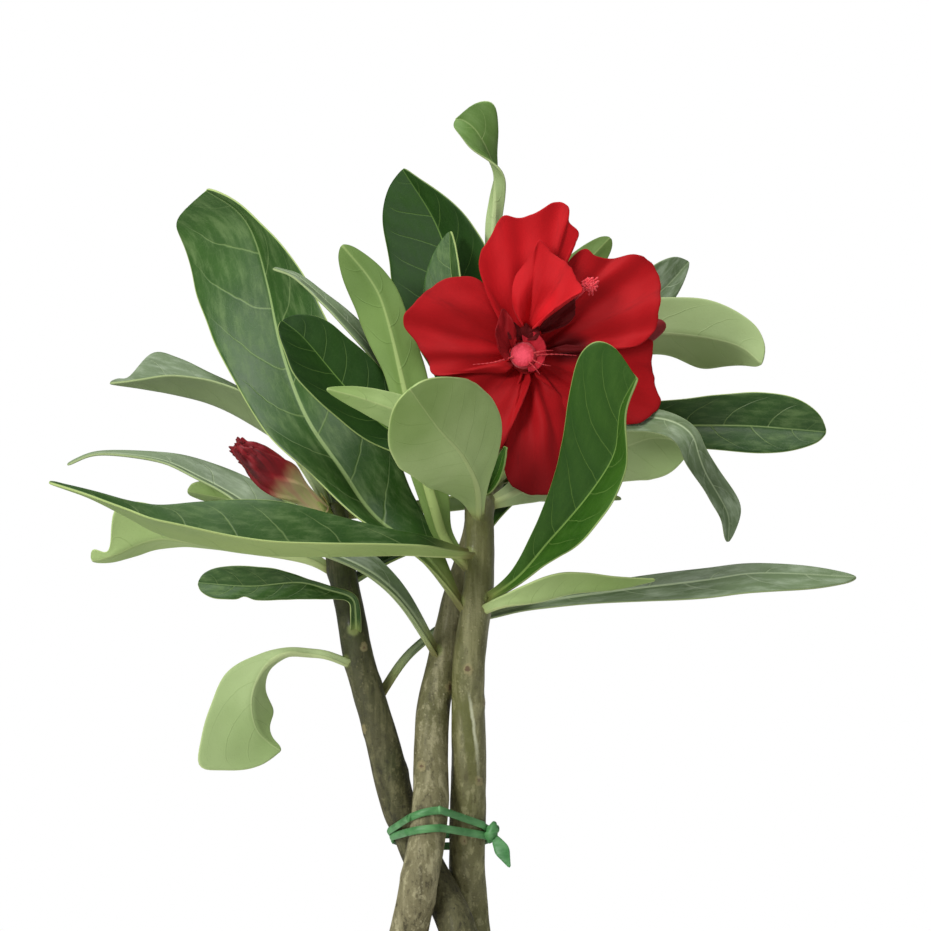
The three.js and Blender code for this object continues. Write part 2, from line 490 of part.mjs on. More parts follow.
// The middle surface of a leaf or petal, in rows from base to tip. Each row holds its
// points from the left edge to the right edge, and the way its upper side faces.
function bladeRows(leaf, columns) {
  const count = leaf.rows ?? bladeSize.rows;
  const curve = curveThrough(leaf.rib);
  const facing = vector(leaf.face ?? [0, -1, 0]);
  const stalk = leaf.stalk ?? 0.05;
  const petiole = leaf.petiole ?? 1.5;
  const [amount, waves, phase] = leaf.wave ?? [0, 1, 0];
  const rows = [];
  for (let i = 0; i <= count; i += 1) {
    const u = 1 - (1 - i / count) ** bladeSize.crowding;
    const centre = curve.getPointAt(u);
    const ahead = curve.getPointAt(Math.min(1, u + bladeSize.reach))
      .sub(curve.getPointAt(Math.max(0, u - bladeSize.reach))).normalize();
    const front = facing.clone().addScaledVector(ahead, -facing.dot(ahead)).normalize();
    const turn = radians(along(leaf.turn, u));
    const upper = front.clone().multiplyScalar(Math.cos(turn))
      .addScaledVector(new THREE.Vector3().crossVectors(ahead, front), Math.sin(turn));
    const across = new THREE.Vector3().crossVectors(ahead, upper);
    const fold = radians(along(leaf.fold, u));
    const v = clamp((u - stalk) / (1 - stalk), 0, 1);
    const points = [];
    for (let j = 0; j <= columns; j += 1) {
      const s = (2 * j) / columns - 1;
      const side = s < 0 ? 0 : 1;
      const wide = halfWidth(leaf, side, v);
      const half = i === count ? bladeSize.tip : Math.max(wide, petiole * (1 - 0.6 * u));
      const out = half * Math.abs(s);
      const ripple = amount * s * s * Math.sin(2 * Math.PI * waves * u + phase * Math.sign(s))
        * (leaf.width ? Math.min(1, (2 * half) / leaf.width) : 0);
      points.push(centre.clone()
        .addScaledVector(across, Math.sign(s) * Math.cos(fold) * out)
        .addScaledVector(upper, Math.sin(fold) * out + ripple));
    }
    rows.push({ u, points, upper });
  }
  return rows;
}

// a blade with thickness: both faces are split into triangles alike
function bladeSolid(leaf, columns = bladeSize.columns) {
  const rows = bladeRows(leaf, columns);
  const across = columns + 1;
  const upperFace = rows.flatMap((row) => row.points);
  const lowerFace = rows.flatMap((row) => row.points.map((p, j) => {
    const inside = 1 - Math.abs((2 * j) / columns - 1);
    const thick = bladeSize.thickness + (leaf.ridge ?? bladeSize.ridge) * inside * inside * (1 - row.u);
    return p.clone().addScaledVector(row.upper, -thick);
  }));
  const below = upperFace.length;
  const last = (rows.length - 1) * across;
  const triangles = [];
  for (let i = 0; i + 1 < rows.length; i += 1) {
    for (let j = 0; j < columns; j += 1) {
      const a = i * across + j;
      const b = a + 1;
      const c = b + across;
      const d = a + across;
      triangles.push(a, b, c, a, c, d);
      triangles.push(below + a, below + c, below + b, below + a, below + d, below + c);
    }
    const left = i * across;
    const right = left + columns;
    triangles.push(left, left + across, below + left + across, left, below + left + across, below + left);
    triangles.push(right, below + right + across, right + across, right, below + right, below + right + across);
  }
  for (let j = 0; j < columns; j += 1) {
    triangles.push(j, below + j + 1, j + 1, j, below + j, below + j + 1);
    triangles.push(last + j, last + j + 1, below + last + j + 1, last + j, below + last + j + 1, below + last + j);
  }
  return meshOf([...upperFace, ...lowerFace], triangles);
}

function leafSolid(leaf) {
  const strand = stems[leaf.on];
  const start = centreAt(strand, leaf.at);
  const grown = { ...leaf, rib: [start.toArray(), ...leaf.rib] };
  return clearOf(strand, bladeSolid(grown));
}

// ---------------------------------------------------------------- flower and buds
function petalsJoined(list) {
  return Object.values(list).map((petal) => bladeSolid({ ...petal, petiole: 1.4, stalk: 0, ridge: 0 }, flower.columns));
}

function outerFlower() {
  const tube = rod(flower.tube, flower.tubeRadius, 12, 8);
  const throat = rod(flower.throat, flower.throatRadius, 12, 4);
  const body = [tube, ...petalsJoined(petals)].map(toSolid).reduce((whole, next) => whole.add(next));
  return toGeometry(body.subtract(toSolid(throat)));
}

function innerFlower() {
  const [x, z] = innerCollar.centre;
  const collar = rod([[x, innerCollar.back, z], [x, innerCollar.front, z]], [innerCollar.radius, innerCollar.radius], 12, 1);
  return joined([collar, ...petalsJoined(innerPetals)]);
}

function stamenCone() {
  const base = vector(stamens.base);
  const tip = vector(stamens.tip);
  const ahead = tip.clone().sub(base);
  const rings = [0, 0.4, 0.75, 1].map((t) => {
    const radius = mix(stamens.baseRadius, stamens.tipRadius, t * t);
    return ringAt(base.clone().lerp(tip, t), ahead, (angle) => radius * (1 + 0.15 * Math.cos(stamens.ridges * angle)), 20, t);
  });
  return loft(rings);
}

function stamenTuft() {
  const end = tuft.stalk[tuft.stalk.length - 1];
  const pieces = [rod(tuft.stalk, [tuft.stalkRadius, tuft.stalkRadius], 6, 4), lump(end, [1.2, 1.2, 1.2], 1)];
  for (let k = 0; k < tuft.lobes; k += 1) {
    const angle = (2 * Math.PI * k) / tuft.lobes;
    const tip = [end[0] + tuft.radius * Math.cos(angle), end[1] - 0.8, end[2] + tuft.radius * Math.sin(angle)];
    pieces.push(rod([end, tip], [0.8, 0.45], 5, 1));
  }
  return joined(pieces);
}

// a short stalk that ends in a cup with pointed sepals
function calyxSolid(cup) {
  const base = vector(cup.base);
  const top = vector(cup.top);
  const ahead = top.clone().sub(base).normalize();
  const pieces = [rod([cup.base, cup.top], [cup.radius, cup.radius], 10, 1)];
  ringAt(top, ahead, cup.radius + 0.7, cup.sepals).forEach((edge) => {
    const out = edge.clone().sub(top).normalize();
    const root = base.clone().lerp(top, 0.7).addScaledVector(out, cup.radius - 0.6);
    const middle = edge.clone().addScaledVector(ahead, cup.sepalLength * 0.45).addScaledVector(out, 0.9);
    const tip = edge.clone().addScaledVector(ahead, cup.sepalLength * 0.9).addScaledVector(out, 1.3);
    pieces.push(bladeSolid({
      rib: [root.toArray(), middle.toArray(), tip.toArray()], face: out.clone().negate().toArray(),
      width: cup.sepalWidth, turn: [0], fold: [12], widest: 0.4, blunt: [0.8, 0.8], petiole: 0.8, rows: 3, ridge: 0,
    }, 2));
  });
  return joined(pieces);
}

function twistedBud(bud) {
  const curve = curveThrough(bud.path);
  const steps = 10;
  const rings = [];
  for (let i = 0; i <= steps; i += 1) {
    const u = i / steps;
    const radius = along(bud.radius, u);
    const pleat = (angle) => radius * (1 + bud.foldDepth * u * Math.cos(bud.folds * (angle + bud.twist * u)));
    rings.push(ringAt(curve.getPointAt(u), curve.getTangentAt(u), pleat, 15));
  }
  return loft(rings);
}

// ---------------------------------------------------------------- tie
function tieLoop(level) {
  const path = [];
  for (let k = 0; k < tie.directions; k += 1) {
    const angle = (2 * Math.PI * k) / tie.directions;
    const out = vector([Math.cos(angle), Math.sin(angle), 0]);
    const toward = out.y < 0 ? level.front : level.back;
    const z = mix(level.side, toward, Math.abs(out.y));
    const outermost = Object.values(stems)
      .map((strand) => ({ centre: centreAt(strand, z), radius: radiusAt(strand, z) }))
      .reduce((best, next) => (next.centre.dot(out) + next.radius > best.centre.dot(out) + best.radius ? next : best));
    const reach = outermost.radius + tie.slack + tie.halfThickness;
    path.push({ centre: outermost.centre.clone().setZ(z).addScaledVector(out, reach), out });
  }
  const points = path.flatMap(({ centre, out }) => Array.from({ length: tie.sides }, (_, j) => {
    const angle = (2 * Math.PI * j) / tie.sides;
    return centre.clone().addScaledVector(out, tie.halfThickness * Math.cos(angle))
      .add(vector([0, 0, tie.halfHeight * Math.sin(angle)]));
  }));
  const triangles = [];
  for (let i = 0; i < tie.directions; i += 1) {
    for (let j = 0; j < tie.sides; j += 1) {
      const next = (j + 1) % tie.sides;
      const a = i * tie.sides + j;
      const b = i * tie.sides + next;
      const over = ((i + 1) % tie.directions) * tie.sides;
      triangles.push(a, over + next, b, a, over + j, over + next);
    }
  }
  return meshOf(points, triangles);
}

function tieSolid() {
  return joined([...tie.loops.map(tieLoop), lump(tie.knot, tie.knotRadius, 1), rod(tie.tail, tie.tailWidth, 8, 4)]);
}

// ---------------------------------------------------------------- pot and soil
function potSolid() {
  const band = pot.height - pot.rimHeight;
  const outline = [
    [0, 0], [pot.footRadius - 1.5, 0], [pot.footRadius, 1.5], [pot.wallRadius, band - 1], [pot.rimRadius - 1, band],
    [pot.rimRadius, band + 2], [pot.rimRadius, pot.height - 3], [pot.rimRadius - 1.5, pot.height - 0.5],
    [pot.rimRadius - 3, pot.height], [pot.innerMouth + 1, pot.height - 0.5], [pot.innerMouth, pot.height - 3],
    [pot.innerFoot, pot.floor + 2], [pot.innerFoot - 2, pot.floor], [0, pot.floor],
  ].map(([r, z]) => new THREE.Vector2(r, z));
  const shell = new THREE.LatheGeometry(outline, pot.facets).rotateX(Math.PI / 2);
  let solid = toSolid(shell);
  for (let k = 0; k < pot.holes; k += 1) {
    const angle = Math.PI / 4 + (2 * Math.PI * k) / pot.holes;
    const drill = new THREE.CylinderGeometry(pot.holeRadius, pot.holeRadius, pot.floor * 4, 14).rotateX(Math.PI / 2);
    drill.translate(pot.holeRing * Math.cos(angle), pot.holeRing * Math.sin(angle), 0);
    solid = solid.subtract(toSolid(drill));
  }
  return toGeometry(solid);
}

function potInnerRadius(z) {
  const share = (z - pot.floor - 2) / (pot.height - 3 - pot.floor - 2);
  return mix(pot.innerFoot, pot.innerMouth, share);
}

// soft lumps of gritty soil, the same on every run
function soilRelief(x, y) {
  return soil.relief * (Math.sin(x * 0.31 + Math.sin(y * 0.23) * 2) * Math.cos(y * 0.37 + Math.sin(x * 0.19) * 2));
}

function soilSolid() {
  const profile = [];
  profile.push([(pot.innerFoot - 3), pot.floor + clearance]);
  profile.push([pot.innerFoot - clearance - 0.3, pot.floor + 3]);
  const edge = potInnerRadius(soil.level - 2) - clearance - 0.4;
  profile.push([edge, soil.level - 2.5]);
  for (let k = 0; k < soil.rings; k += 1) profile.push([edge * (1 - (k + 0.5) / soil.rings), null]);
  const rings = profile.map(([r, z], k) => Array.from({ length: soil.facets }, (_, j) => {
    const angle = (2 * Math.PI * j) / soil.facets + (z === null ? k * 0.06 : 0);
    const x = r * Math.cos(angle);
    const y = r * Math.sin(angle);
    const mound = soil.level + soil.mound * (1 - (r / edge) ** 2) + soilRelief(x, y);
    return vector([x, y, z ?? mound]);
  }));
  let solid = toSolid(loft(rings));
  for (const strand of Object.values(stems)) solid = solid.subtract(toSolid(stemSolid(strand, clearance)));
  return toGeometry(solid);
}

// ---------------------------------------------------------------- looks
const looks = {
  leafDark: { color: 0x2f5523, roughness: 0.45, metalness: 0 },
  leafPale: { color: 0x8fa56b, roughness: 0.6, metalness: 0 },
  bark: { color: 0x75735a, roughness: 0.8, metalness: 0 },
  barkGreen: { color: 0x6f7a4c, roughness: 0.7, metalness: 0 },
  petal: { color: 0xbe1e26, roughness: 0.55, metalness: 0 },
  petalInner: { color: 0xa5161f, roughness: 0.55, metalness: 0 },
  stamen: { color: 0xe85a62, roughness: 0.6, metalness: 0 },
  calyx: { color: 0x8a9a4e, roughness: 0.6, metalness: 0 },
  bud: { color: 0x8c2028, roughness: 0.6, metalness: 0 },
  tie: { color: 0x558f58, roughness: 0.5, metalness: 0 },
  clay: { color: 0xb0623e, roughness: 0.85, metalness: 0 },
  soil: { color: 0x3b2a1e, roughness: 1, metalness: 0 },
};
const paleLeaves = new Set([
  "leaf_slim_left", "leaf_front_round", "leaf_pale_upright", "leaf_hooked", "leaf_right_upper", "leaf_right_pale",
]);

function piece(name, geometry, look) {
  const shaded = geometry.index ? geometry.toNonIndexed() : geometry;
  shaded.computeVertexNormals();
  const mesh = new THREE.Mesh(shaded, new THREE.MeshStandardMaterial(looks[look]));
  mesh.name = name;
  return mesh;
}

// ---------------------------------------------------------------- assembly
const holder = new THREE.Group();
holder.add(piece("pot", potSolid(), "clay"));
holder.add(piece("soil", soilSolid(), "soil"));

const trunk = new THREE.Group();
trunk.add(piece("stem_left", stemSolid(stems.left), "bark"));
trunk.add(piece("stem_middle", stemSolid(stems.middle), "bark"));
trunk.add(piece("stem_right", stemSolid(stems.right), "barkGreen"));
trunk.add(piece("plant_tie", tieSolid(), "tie"));

const foliage = new THREE.Group();
for (const [name, leaf] of Object.entries(leaves)) {
  foliage.add(piece(name, leafSolid(leaf), paleLeaves.has(name) ? "leafPale" : "leafDark"));
}

const bloom = new THREE.Group();
bloom.add(piece("flower_petals", outerFlower(), "petal"));
bloom.add(piece("flower_inner_petals", innerFlower(), "petalInner"));
bloom.add(piece("flower_stamens", stamenCone(), "stamen"));
bloom.add(piece("flower_tuft", stamenTuft(), "stamen"));
bloom.add(piece("flower_calyx", clearOf(stems.middle, calyxSolid(calyx)), "calyx"));

const buds = new THREE.Group();
buds.add(piece("bud_left", twistedBud(budLeft), "bud"));
buds.add(piece("bud_left_calyx", clearOf(stems.left, calyxSolid(budLeftCalyx)), "calyx"));
buds.add(piece("bud_back", clearOf(stems.middle, rod(budBack.path, budBack.radius, 8, 12)), "bud"));

const plant = new THREE.Group();
plant.add(holder, trunk, foliage, bloom, buds);

export default plant;
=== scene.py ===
# Potted desert rose: the finish of every leaf, petal, stem and the clay pot.
# Sizes in the dictionaries are millimetres in the plant's own frame: +Z up, -Y the front.
import math
import random

import bpy
from mathutils import Matrix, Vector, noise


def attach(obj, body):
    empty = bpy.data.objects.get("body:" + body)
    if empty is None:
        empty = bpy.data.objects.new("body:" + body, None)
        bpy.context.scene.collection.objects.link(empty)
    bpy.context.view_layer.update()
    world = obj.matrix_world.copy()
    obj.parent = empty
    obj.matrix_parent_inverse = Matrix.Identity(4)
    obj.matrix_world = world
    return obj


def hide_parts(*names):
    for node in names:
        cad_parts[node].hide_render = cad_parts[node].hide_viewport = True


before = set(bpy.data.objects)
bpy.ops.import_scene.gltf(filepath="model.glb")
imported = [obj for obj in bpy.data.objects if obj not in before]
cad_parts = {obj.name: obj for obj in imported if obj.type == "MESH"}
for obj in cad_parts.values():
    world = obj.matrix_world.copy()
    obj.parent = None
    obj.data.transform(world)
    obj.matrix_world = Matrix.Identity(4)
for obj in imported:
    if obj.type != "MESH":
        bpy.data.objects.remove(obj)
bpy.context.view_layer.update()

bpy.ops.object.select_all(action="DESELECT")
random.seed(7)
mm = 0.001
print("frame loaded:", len(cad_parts), "nodes")


# curves and lists

class Route:
    # a smooth curve through points, read by the share of its length
    def __init__(self, points, each=24):
        p = [Vector(point) for point in points]
        p = [2 * p[0] - p[1]] + p + [2 * p[-1] - p[-2]]
        self.points = []
        for i in range(1, len(p) - 2):
            a, b, c, d = p[i - 1], p[i], p[i + 1], p[i + 2]
            for k in range(each):
                t = k / each
                self.points.append(0.5 * (2 * b + (c - a) * t + (2 * a - 5 * b + 4 * c - d) * t ** 2
                                          + (3 * b - a - 3 * c + d) * t ** 3))
        self.points.append(p[-2])
        self.distance = [0.0]
        for before, after in zip(self.points, self.points[1:]):
            self.distance.append(self.distance[-1] + (after - before).length)
        self.length = self.distance[-1]

    def at(self, share):
        want = min(max(share, 0), 1) * self.length
        low, high = 0, len(self.points) - 1
        while high - low > 1:
            middle = (low + high) // 2
            if self.distance[middle] > want:
                high = middle
            else:
                low = middle
        step = self.distance[high] - self.distance[low]
        return self.points[low].lerp(self.points[high], (want - self.distance[low]) / step if step else 0)

    def ahead(self, share, reach=0.01):
        return (self.at(min(1, share + reach)) - self.at(max(0, share - reach))).normalized()


def along(values, share):
    # the value at a share of a list given at equal steps, joined smoothly
    if len(values) == 1:
        return values[0]
    last = len(values) - 1
    i = min(int(share * last), last - 1)
    t = share * last - i

    def slope(k):
        low, high = max(k - 1, 0), min(k + 1, last)
        return (values[high] - values[low]) / (high - low)

    return ((2 * t ** 3 - 3 * t ** 2 + 1) * values[i] + (t ** 3 - 2 * t ** 2 + t) * slope(i)
            + (3 * t ** 2 - 2 * t ** 3) * values[i + 1] + (t ** 3 - t ** 2) * slope(i + 1))


def mix(low, high, share):
    return low + (high - low) * share


def ease(low, high, value):
    t = min(max((value - low) / (high - low), 0), 1)
    return t * t * (3 - 2 * t)


# modelling

def only(piece):
    bpy.ops.object.select_all(action="DESELECT")
    piece.select_set(True)
    bpy.context.view_layer.objects.active = piece


def modify(piece, kind, **settings):
    only(piece)
    modifier = piece.modifiers.new(kind.title(), kind)
    for name, value in settings.items():
        setattr(modifier, name, value)
    bpy.ops.object.modifier_apply(modifier=modifier.name)


def smoother(piece, levels=1):
    modify(piece, "SUBSURF", levels=levels, render_levels=levels)


def sheet(name, columns, rows, place):
    # a grid whose points go where place(across from -1 to 1, along from 0 to 1) puts them
    bpy.ops.mesh.primitive_grid_add(x_subdivisions=columns, y_subdivisions=rows, size=2)
    piece = bpy.context.object
    piece.name = piece.data.name = name
    for vertex in piece.data.vertices:
        vertex.co = Vector(place(vertex.co.x, (vertex.co.y + 1) / 2)) * mm
    return piece


def rolled(name, sides, rings, place):
    # a sheet rolled into a closed tube; its ends close where place brings a ring to one point
    piece = sheet(name, sides, rings, lambda across, share: place(math.pi * (1 - across), share))
    only(piece)
    bpy.ops.object.mode_set(mode="EDIT")
    bpy.ops.mesh.select_all(action="SELECT")
    bpy.ops.mesh.remove_doubles(threshold=0.00001)
    bpy.ops.mesh.normals_make_consistent(inside=False)
    bpy.ops.object.mode_set(mode="OBJECT")
    return piece


def crossAxes(direction):
    reference = Vector((1, 0, 0)) if abs(direction.y) > 0.9 else Vector((0, 1, 0))
    across = reference.cross(direction).normalized()
    return across, direction.cross(across)


def tube(name, route, sides, rings, radius, cap=0.004):
    # a tube along a route; radius(angle, share) is in millimetres, and both ends are closed
    frames = []
    for k in range(rings + 1):
        share = mix(-cap, 1 + cap, k / rings)
        inside = min(max(share, 0), 1)
        direction = route.ahead(inside)
        frames.append((route.at(inside), crossAxes(direction), inside))

    def place(angle, far):
        k = round(far * rings)
        centre, (across, upward), share = frames[k]
        r = 0 if k in (0, rings) else radius(angle, share)
        return centre + across * (r * math.cos(angle)) + upward * (r * math.sin(angle))

    return rolled(name, sides, rings, place)


def join(pieces, name):
    bpy.ops.object.select_all(action="DESELECT")
    for piece in pieces:
        piece.select_set(True)
    bpy.context.view_layer.objects.active = pieces[0]
    if len(pieces) > 1:
        bpy.ops.object.join()
    pieces[0].name = pieces[0].data.name = name
    return pieces[0]


def finished(piece, nodes, material=None, angle=60):
    # the last step for each piece: smooth shading, material, body and the nodes it stands for
    only(piece)
    bpy.ops.object.shade_smooth_by_angle(angle=math.radians(angle))
    if material:
        piece.data.materials.append(material)
    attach(piece, "root")
    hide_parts(*nodes)
    return piece


# shader maths

def shown(colour):
    # a colour as seen on a screen, 0 to 255, as the shader wants it
    shares = [value / 255 for value in colour]
    linear = [share / 12.92 if share <= 0.04045 else ((share + 0.055) / 1.055) ** 2.4 for share in shares]
    return linear + [1.0]


class Value:
    # one output socket, with the sums that the materials need
    def __init__(self, paint, socket):
        self.paint = paint
        self.socket = socket

    def sum(self, operation, first, second=None):
        inputs = {0: first} if second is None else {0: first, 1: second}
        return self.paint.node("ShaderNodeMath", {"operation": operation}, inputs)

    def __add__(self, other):
        return self.sum("ADD", self, other)

    def __radd__(self, other):
        return self.sum("ADD", other, self)

    def __sub__(self, other):
        return self.sum("SUBTRACT", self, other)

    def __rsub__(self, other):
        return self.sum("SUBTRACT", other, self)

    def __mul__(self, other):
        return self.sum("MULTIPLY", self, other)

    def __rmul__(self, other):
        return self.sum("MULTIPLY", other, self)

    def __pow__(self, other):
        return self.sum("POWER", self, other)

    def size(self):
        return self.sum("ABSOLUTE", self)

    def fraction(self):
        return self.sum("FRACT", self)

    def least(self, other):
        return self.sum("MINIMUM", self, other)

    def most(self, other):
        return self.sum("MAXIMUM", self, other)

    def rise(self, low, high, bottom=0.0, top=1.0):
        # bottom below low, top above high, smooth between
        settings = {"interpolation_type": "SMOOTHSTEP"}
        inputs = {"Value": self, "From Min": low, "From Max": high, "To Min": bottom, "To Max": top}
        return self.paint.node("ShaderNodeMapRange", settings, inputs)


class Paint:
    # one material: its Principled shader and what feeds it
    def __init__(self, name, **fixed):
        self.material = bpy.data.materials.new(name)
        self.material.use_nodes = True
        self.tree = self.material.node_tree
        self.shader = self.tree.nodes["Principled BSDF"]
        for socket, value in fixed.items():
            self.shader.inputs[socket.replace("_", " ")].default_value = value

    def feed(self, socket, value):
        if isinstance(value, Value):
            self.tree.links.new(value.socket, socket)
        elif value is not None:
            socket.default_value = shown(value) if socket.type == "RGBA" else value

    def node(self, kind, settings=None, inputs=None, output=0):
        made = self.tree.nodes.new(kind)
        for name, value in (settings or {}).items():
            setattr(made, name, value)
        for name, value in (inputs or {}).items():
            self.feed(made.inputs[name], value)
        return Value(self, made.outputs[output])

    def place(self):
        return self.node("ShaderNodeTexCoord", output="Object")

    def parts(self, vector):
        separate = self.node("ShaderNodeSeparateXYZ", inputs={0: vector})
        return [Value(self, socket) for socket in separate.socket.node.outputs]

    def map(self, layer):
        return self.parts(self.node("ShaderNodeUVMap", {"uv_map": layer}))[:2]

    def vector(self, x, y, z=0.0):
        return self.node("ShaderNodeCombineXYZ", inputs={0: x, 1: y, 2: z})

    def scaled(self, vector, size):
        return self.node("ShaderNodeMapping", inputs={"Vector": vector, "Scale": size})

    def grain(self, vector, scale, detail=3.0, roughness=0.5):
        inputs = {"Vector": vector, "Scale": scale, "Detail": detail, "Roughness": roughness}
        return self.node("ShaderNodeTexNoise", inputs=inputs)

    def cells(self, vector, scale, feature="F1"):
        return self.node("ShaderNodeTexVoronoi", {"feature": feature}, {"Vector": vector, "Scale": scale})

    def blend(self, first, second, share):
        mixer = self.node("ShaderNodeMix", {"data_type": "RGBA"}, {0: share}, output=2)
        self.feed(mixer.socket.node.inputs[6], first)
        self.feed(mixer.socket.node.inputs[7], second)
        return mixer

    def bump(self, height, distance, strength=1.0):
        inputs = {"Height": height, "Distance": distance, "Strength": strength}
        return self.node("ShaderNodeBump", inputs=inputs)

    def done(self, colour, roughness, normal=None, coat=None):
        self.feed(self.shader.inputs["Base Color"], colour)
        self.feed(self.shader.inputs["Roughness"], roughness)
        self.feed(self.shader.inputs["Normal"], normal)
        self.feed(self.shader.inputs["Coat Weight"], coat)
        return self.material


# camera, floor and light

cameraLook = {
    "lens": 200, "sensor": 36, "target": (5.5, 0, 401), "elevation": -3,
    "picture": 931, "pixel": 0.27,  # the picture's width in pixels, and a pixel's size at the stems
}


def addCamera():
    look = cameraLook
    distance = look["lens"] / look["sensor"] * look["picture"] * look["pixel"]
    tilt = math.radians(look["elevation"])
    back = Vector((0, -math.cos(tilt), math.sin(tilt)))
    data = bpy.data.cameras.new("portraitCamera")
    data.lens = look["lens"]
    data.sensor_width = look["sensor"]
    data.clip_end = 50
    camera = bpy.data.objects.new("portraitCamera", data)
    bpy.context.scene.collection.objects.link(camera)
    camera.location = (Vector(look["target"]) + back * distance) * mm
    camera.rotation_euler = (math.radians(90) - tilt, 0, 0)
    bpy.context.scene.camera = camera


studio = {
    "floorSize": 5000, "backdrop": 1.0, "fill": 0.33,
    "lights": [
        {"name": "topSoftbox", "at": (-250, -350, 1500), "to": (0, 0, 400), "size": 700, "power": 11},
        {"name": "frontSoftbox", "at": (-1000, -1150, 900), "to": (0, 0, 400), "size": 500, "power": 15},
        {"name": "sideSoftbox", "at": (1200, -500, 700), "to": (0, 0, 400), "size": 700, "power": 1},
    ],
}


def addStudio():
    world = bpy.data.worlds.new("whiteRoom")
    world.use_nodes = True
    background = world.node_tree.nodes["Background"]
    background.inputs["Color"].default_value = (1, 1, 1, 1)
    # the backdrop is seen white, and fills the shadows with less
    rays = world.node_tree.nodes.new("ShaderNodeLightPath")
    level = world.node_tree.nodes.new("ShaderNodeMapRange")
    level.inputs["To Min"].default_value = studio["fill"]
    level.inputs["To Max"].default_value = studio["backdrop"]
    world.node_tree.links.new(rays.outputs["Is Camera Ray"], level.inputs["Value"])
    world.node_tree.links.new(level.outputs["Result"], background.inputs["Strength"])
    bpy.context.scene.world = world
    for light in studio["lights"]:
        data = bpy.data.lights.new(light["name"], "AREA")
        data.energy = light["power"]
        data.size = light["size"] * mm
        lamp = bpy.data.objects.new(light["name"], data)
        bpy.context.scene.collection.objects.link(lamp)
        lamp.location = Vector(light["at"]) * mm
        toward = Vector(light["to"]) - Vector(light["at"])
        lamp.rotation_euler = toward.to_track_quat("-Z", "Y").to_euler()
    bpy.ops.mesh.primitive_plane_add(size=studio["floorSize"] * mm)
    floor = bpy.context.object
    floor.name = "paleFloor"
    paint = Paint("paleFloor")
    soft = paint.grain(paint.place(), 3.0).rise(0.3, 0.7, 0.55, 0.65)
    floor.data.materials.append(paint.done((243, 243, 240), soft))
    bpy.context.scene.view_settings.view_transform = "Standard"


addCamera()
addStudio()
print("camera, floor and lights set")


# stems

stemSize = {"base": 76, "baseRadius": 6.2, "tieHeight": 300, "sides": 48, "rings": 300}
swell = {"reach": 6, "out": 0.5, "wide": 1.6, "pit": 0.45, "pitWide": 0.6}  # round a scar or a leaf's foot
braid = {"top": 262, "from": 270, "turnPerMm": 2.2, "side": (12, 16), "depth": (7.5, 10.5), "points": 14}
stems = {
    "left": {
        "phase": 158.5, "tip": 3.4, "radius": 4.9, "seed": 3.1,
        "points": [(-30.5, 2, 391), (-29.5, 2, 386), (-28.4, 1, 375.5), (-25.7, 1, 362), (-22.9, 1, 347.5),
                   (-17.3, 2, 328.3), (-13, 5, 310.8), (-9.5, 6, 302.7), (-5.4, 4.5, 293.3), (0, 1, 284),
                   (2.7, -3, 278), (4.8, -5, 271)],
    },
    "middle": {
        "phase": -81.5, "tip": 3.4, "radius": 5, "seed": 17.7,
        "points": [(15.6, 3.6, 411), (12.6, 4.6, 400), (9.7, 5, 390), (8.1, 5, 380.8), (3.7, 4, 366.4),
                   (1.3, 4, 356.4), (-0.6, 3.5, 347.5), (-3, 2, 336.7), (-3.8, 0, 325.6), (-3.8, -2, 314.6),
                   (-4, -4, 309), (-5.3, -6, 297.6), (-6.9, -7.8, 289.6), (-8, -7.2, 284), (-9.2, -5, 278),
                   (-10.7, -2, 270.7)],
    },
    "right": {
        "phase": 41.5, "tip": 3.8, "radius": 4.9, "seed": 29.9,
        "points": [(9.7, -5, 393.6), (9.1, -4.8, 387), (9.1, -4, 369.4), (6.4, -3, 347.4), (6.4, 1, 325.6),
                   (6.2, 3, 310.8), (5.9, 6.4, 293.3), (6.4, 9.8, 285), (6.9, 10.2, 278),
                   (7.3, 8.4, 270.4)],
    },
}
# leaf scars and resting eyes: stem, height, the way they face in degrees (-90 is the front), size
scars = [("right", 346, -92, 1.5), ("right", 337, -20, 1.2), ("right", 316, -55, 1.4),
         ("middle", 341, -40, 1.7), ("middle", 320, -120, 1.4), ("left", 352, -60, 1.2),
         ("left", 330, -150, 1.3), ("right", 300, -100, 1.2), ("middle", 303, -75, 1.2),
         ("left", 318, 20, 1.4), ("right", 360, 60, 1.4), ("middle", 352, 90, 1.5), ("left", 340, 80, 1.4),
         ("middle", 290, 150, 1.3), ("right", 322, 120, 1.5), ("left", 365, 130, 1.3)]
for strand in ("left", "middle", "right"):
    for height in range(130, 290, 22):
        at, facing = height + random.uniform(-7, 7), random.uniform(-180, 180)
        scars.append((strand, at, facing, random.uniform(1, 1.7)))


def braidPoints(strand):
    points = []
    for i in range(braid["points"]):
        share = i / (braid["points"] - 1)
        z = mix(braid["top"], stemSize["base"], share)
        angle = math.radians(strand["phase"] - braid["turnPerMm"] * (braid["from"] - z))
        side, depth = mix(*braid["side"], share), mix(*braid["depth"], share)
        points.append((side * math.sin(angle), depth * math.sin(2 * angle), z))
    return points


for strand in stems.values():
    strand["route"] = Route((strand["points"] + braidPoints(strand))[::-1])


def stemCentre(name, height):
    route = stems[name]["route"]
    low, high = 0.0, 1.0
    for _ in range(24):
        middle = (low + high) / 2
        if route.at(middle).z > height:
            high = middle
        else:
            low = middle
    return route.at(low)


def stemRadius(name, z):
    strand = stems[name]
    tip, tieHeight = strand["points"][0][2], stemSize["tieHeight"]
    if z > tieHeight:
        return mix(strand["radius"], strand["tip"], (z - tieHeight) / (tip - tieHeight))
    below = min(1, (tieHeight - z) / (tieHeight - stemSize["base"] - 20))
    return mix(strand["radius"], stemSize["baseRadius"], below)


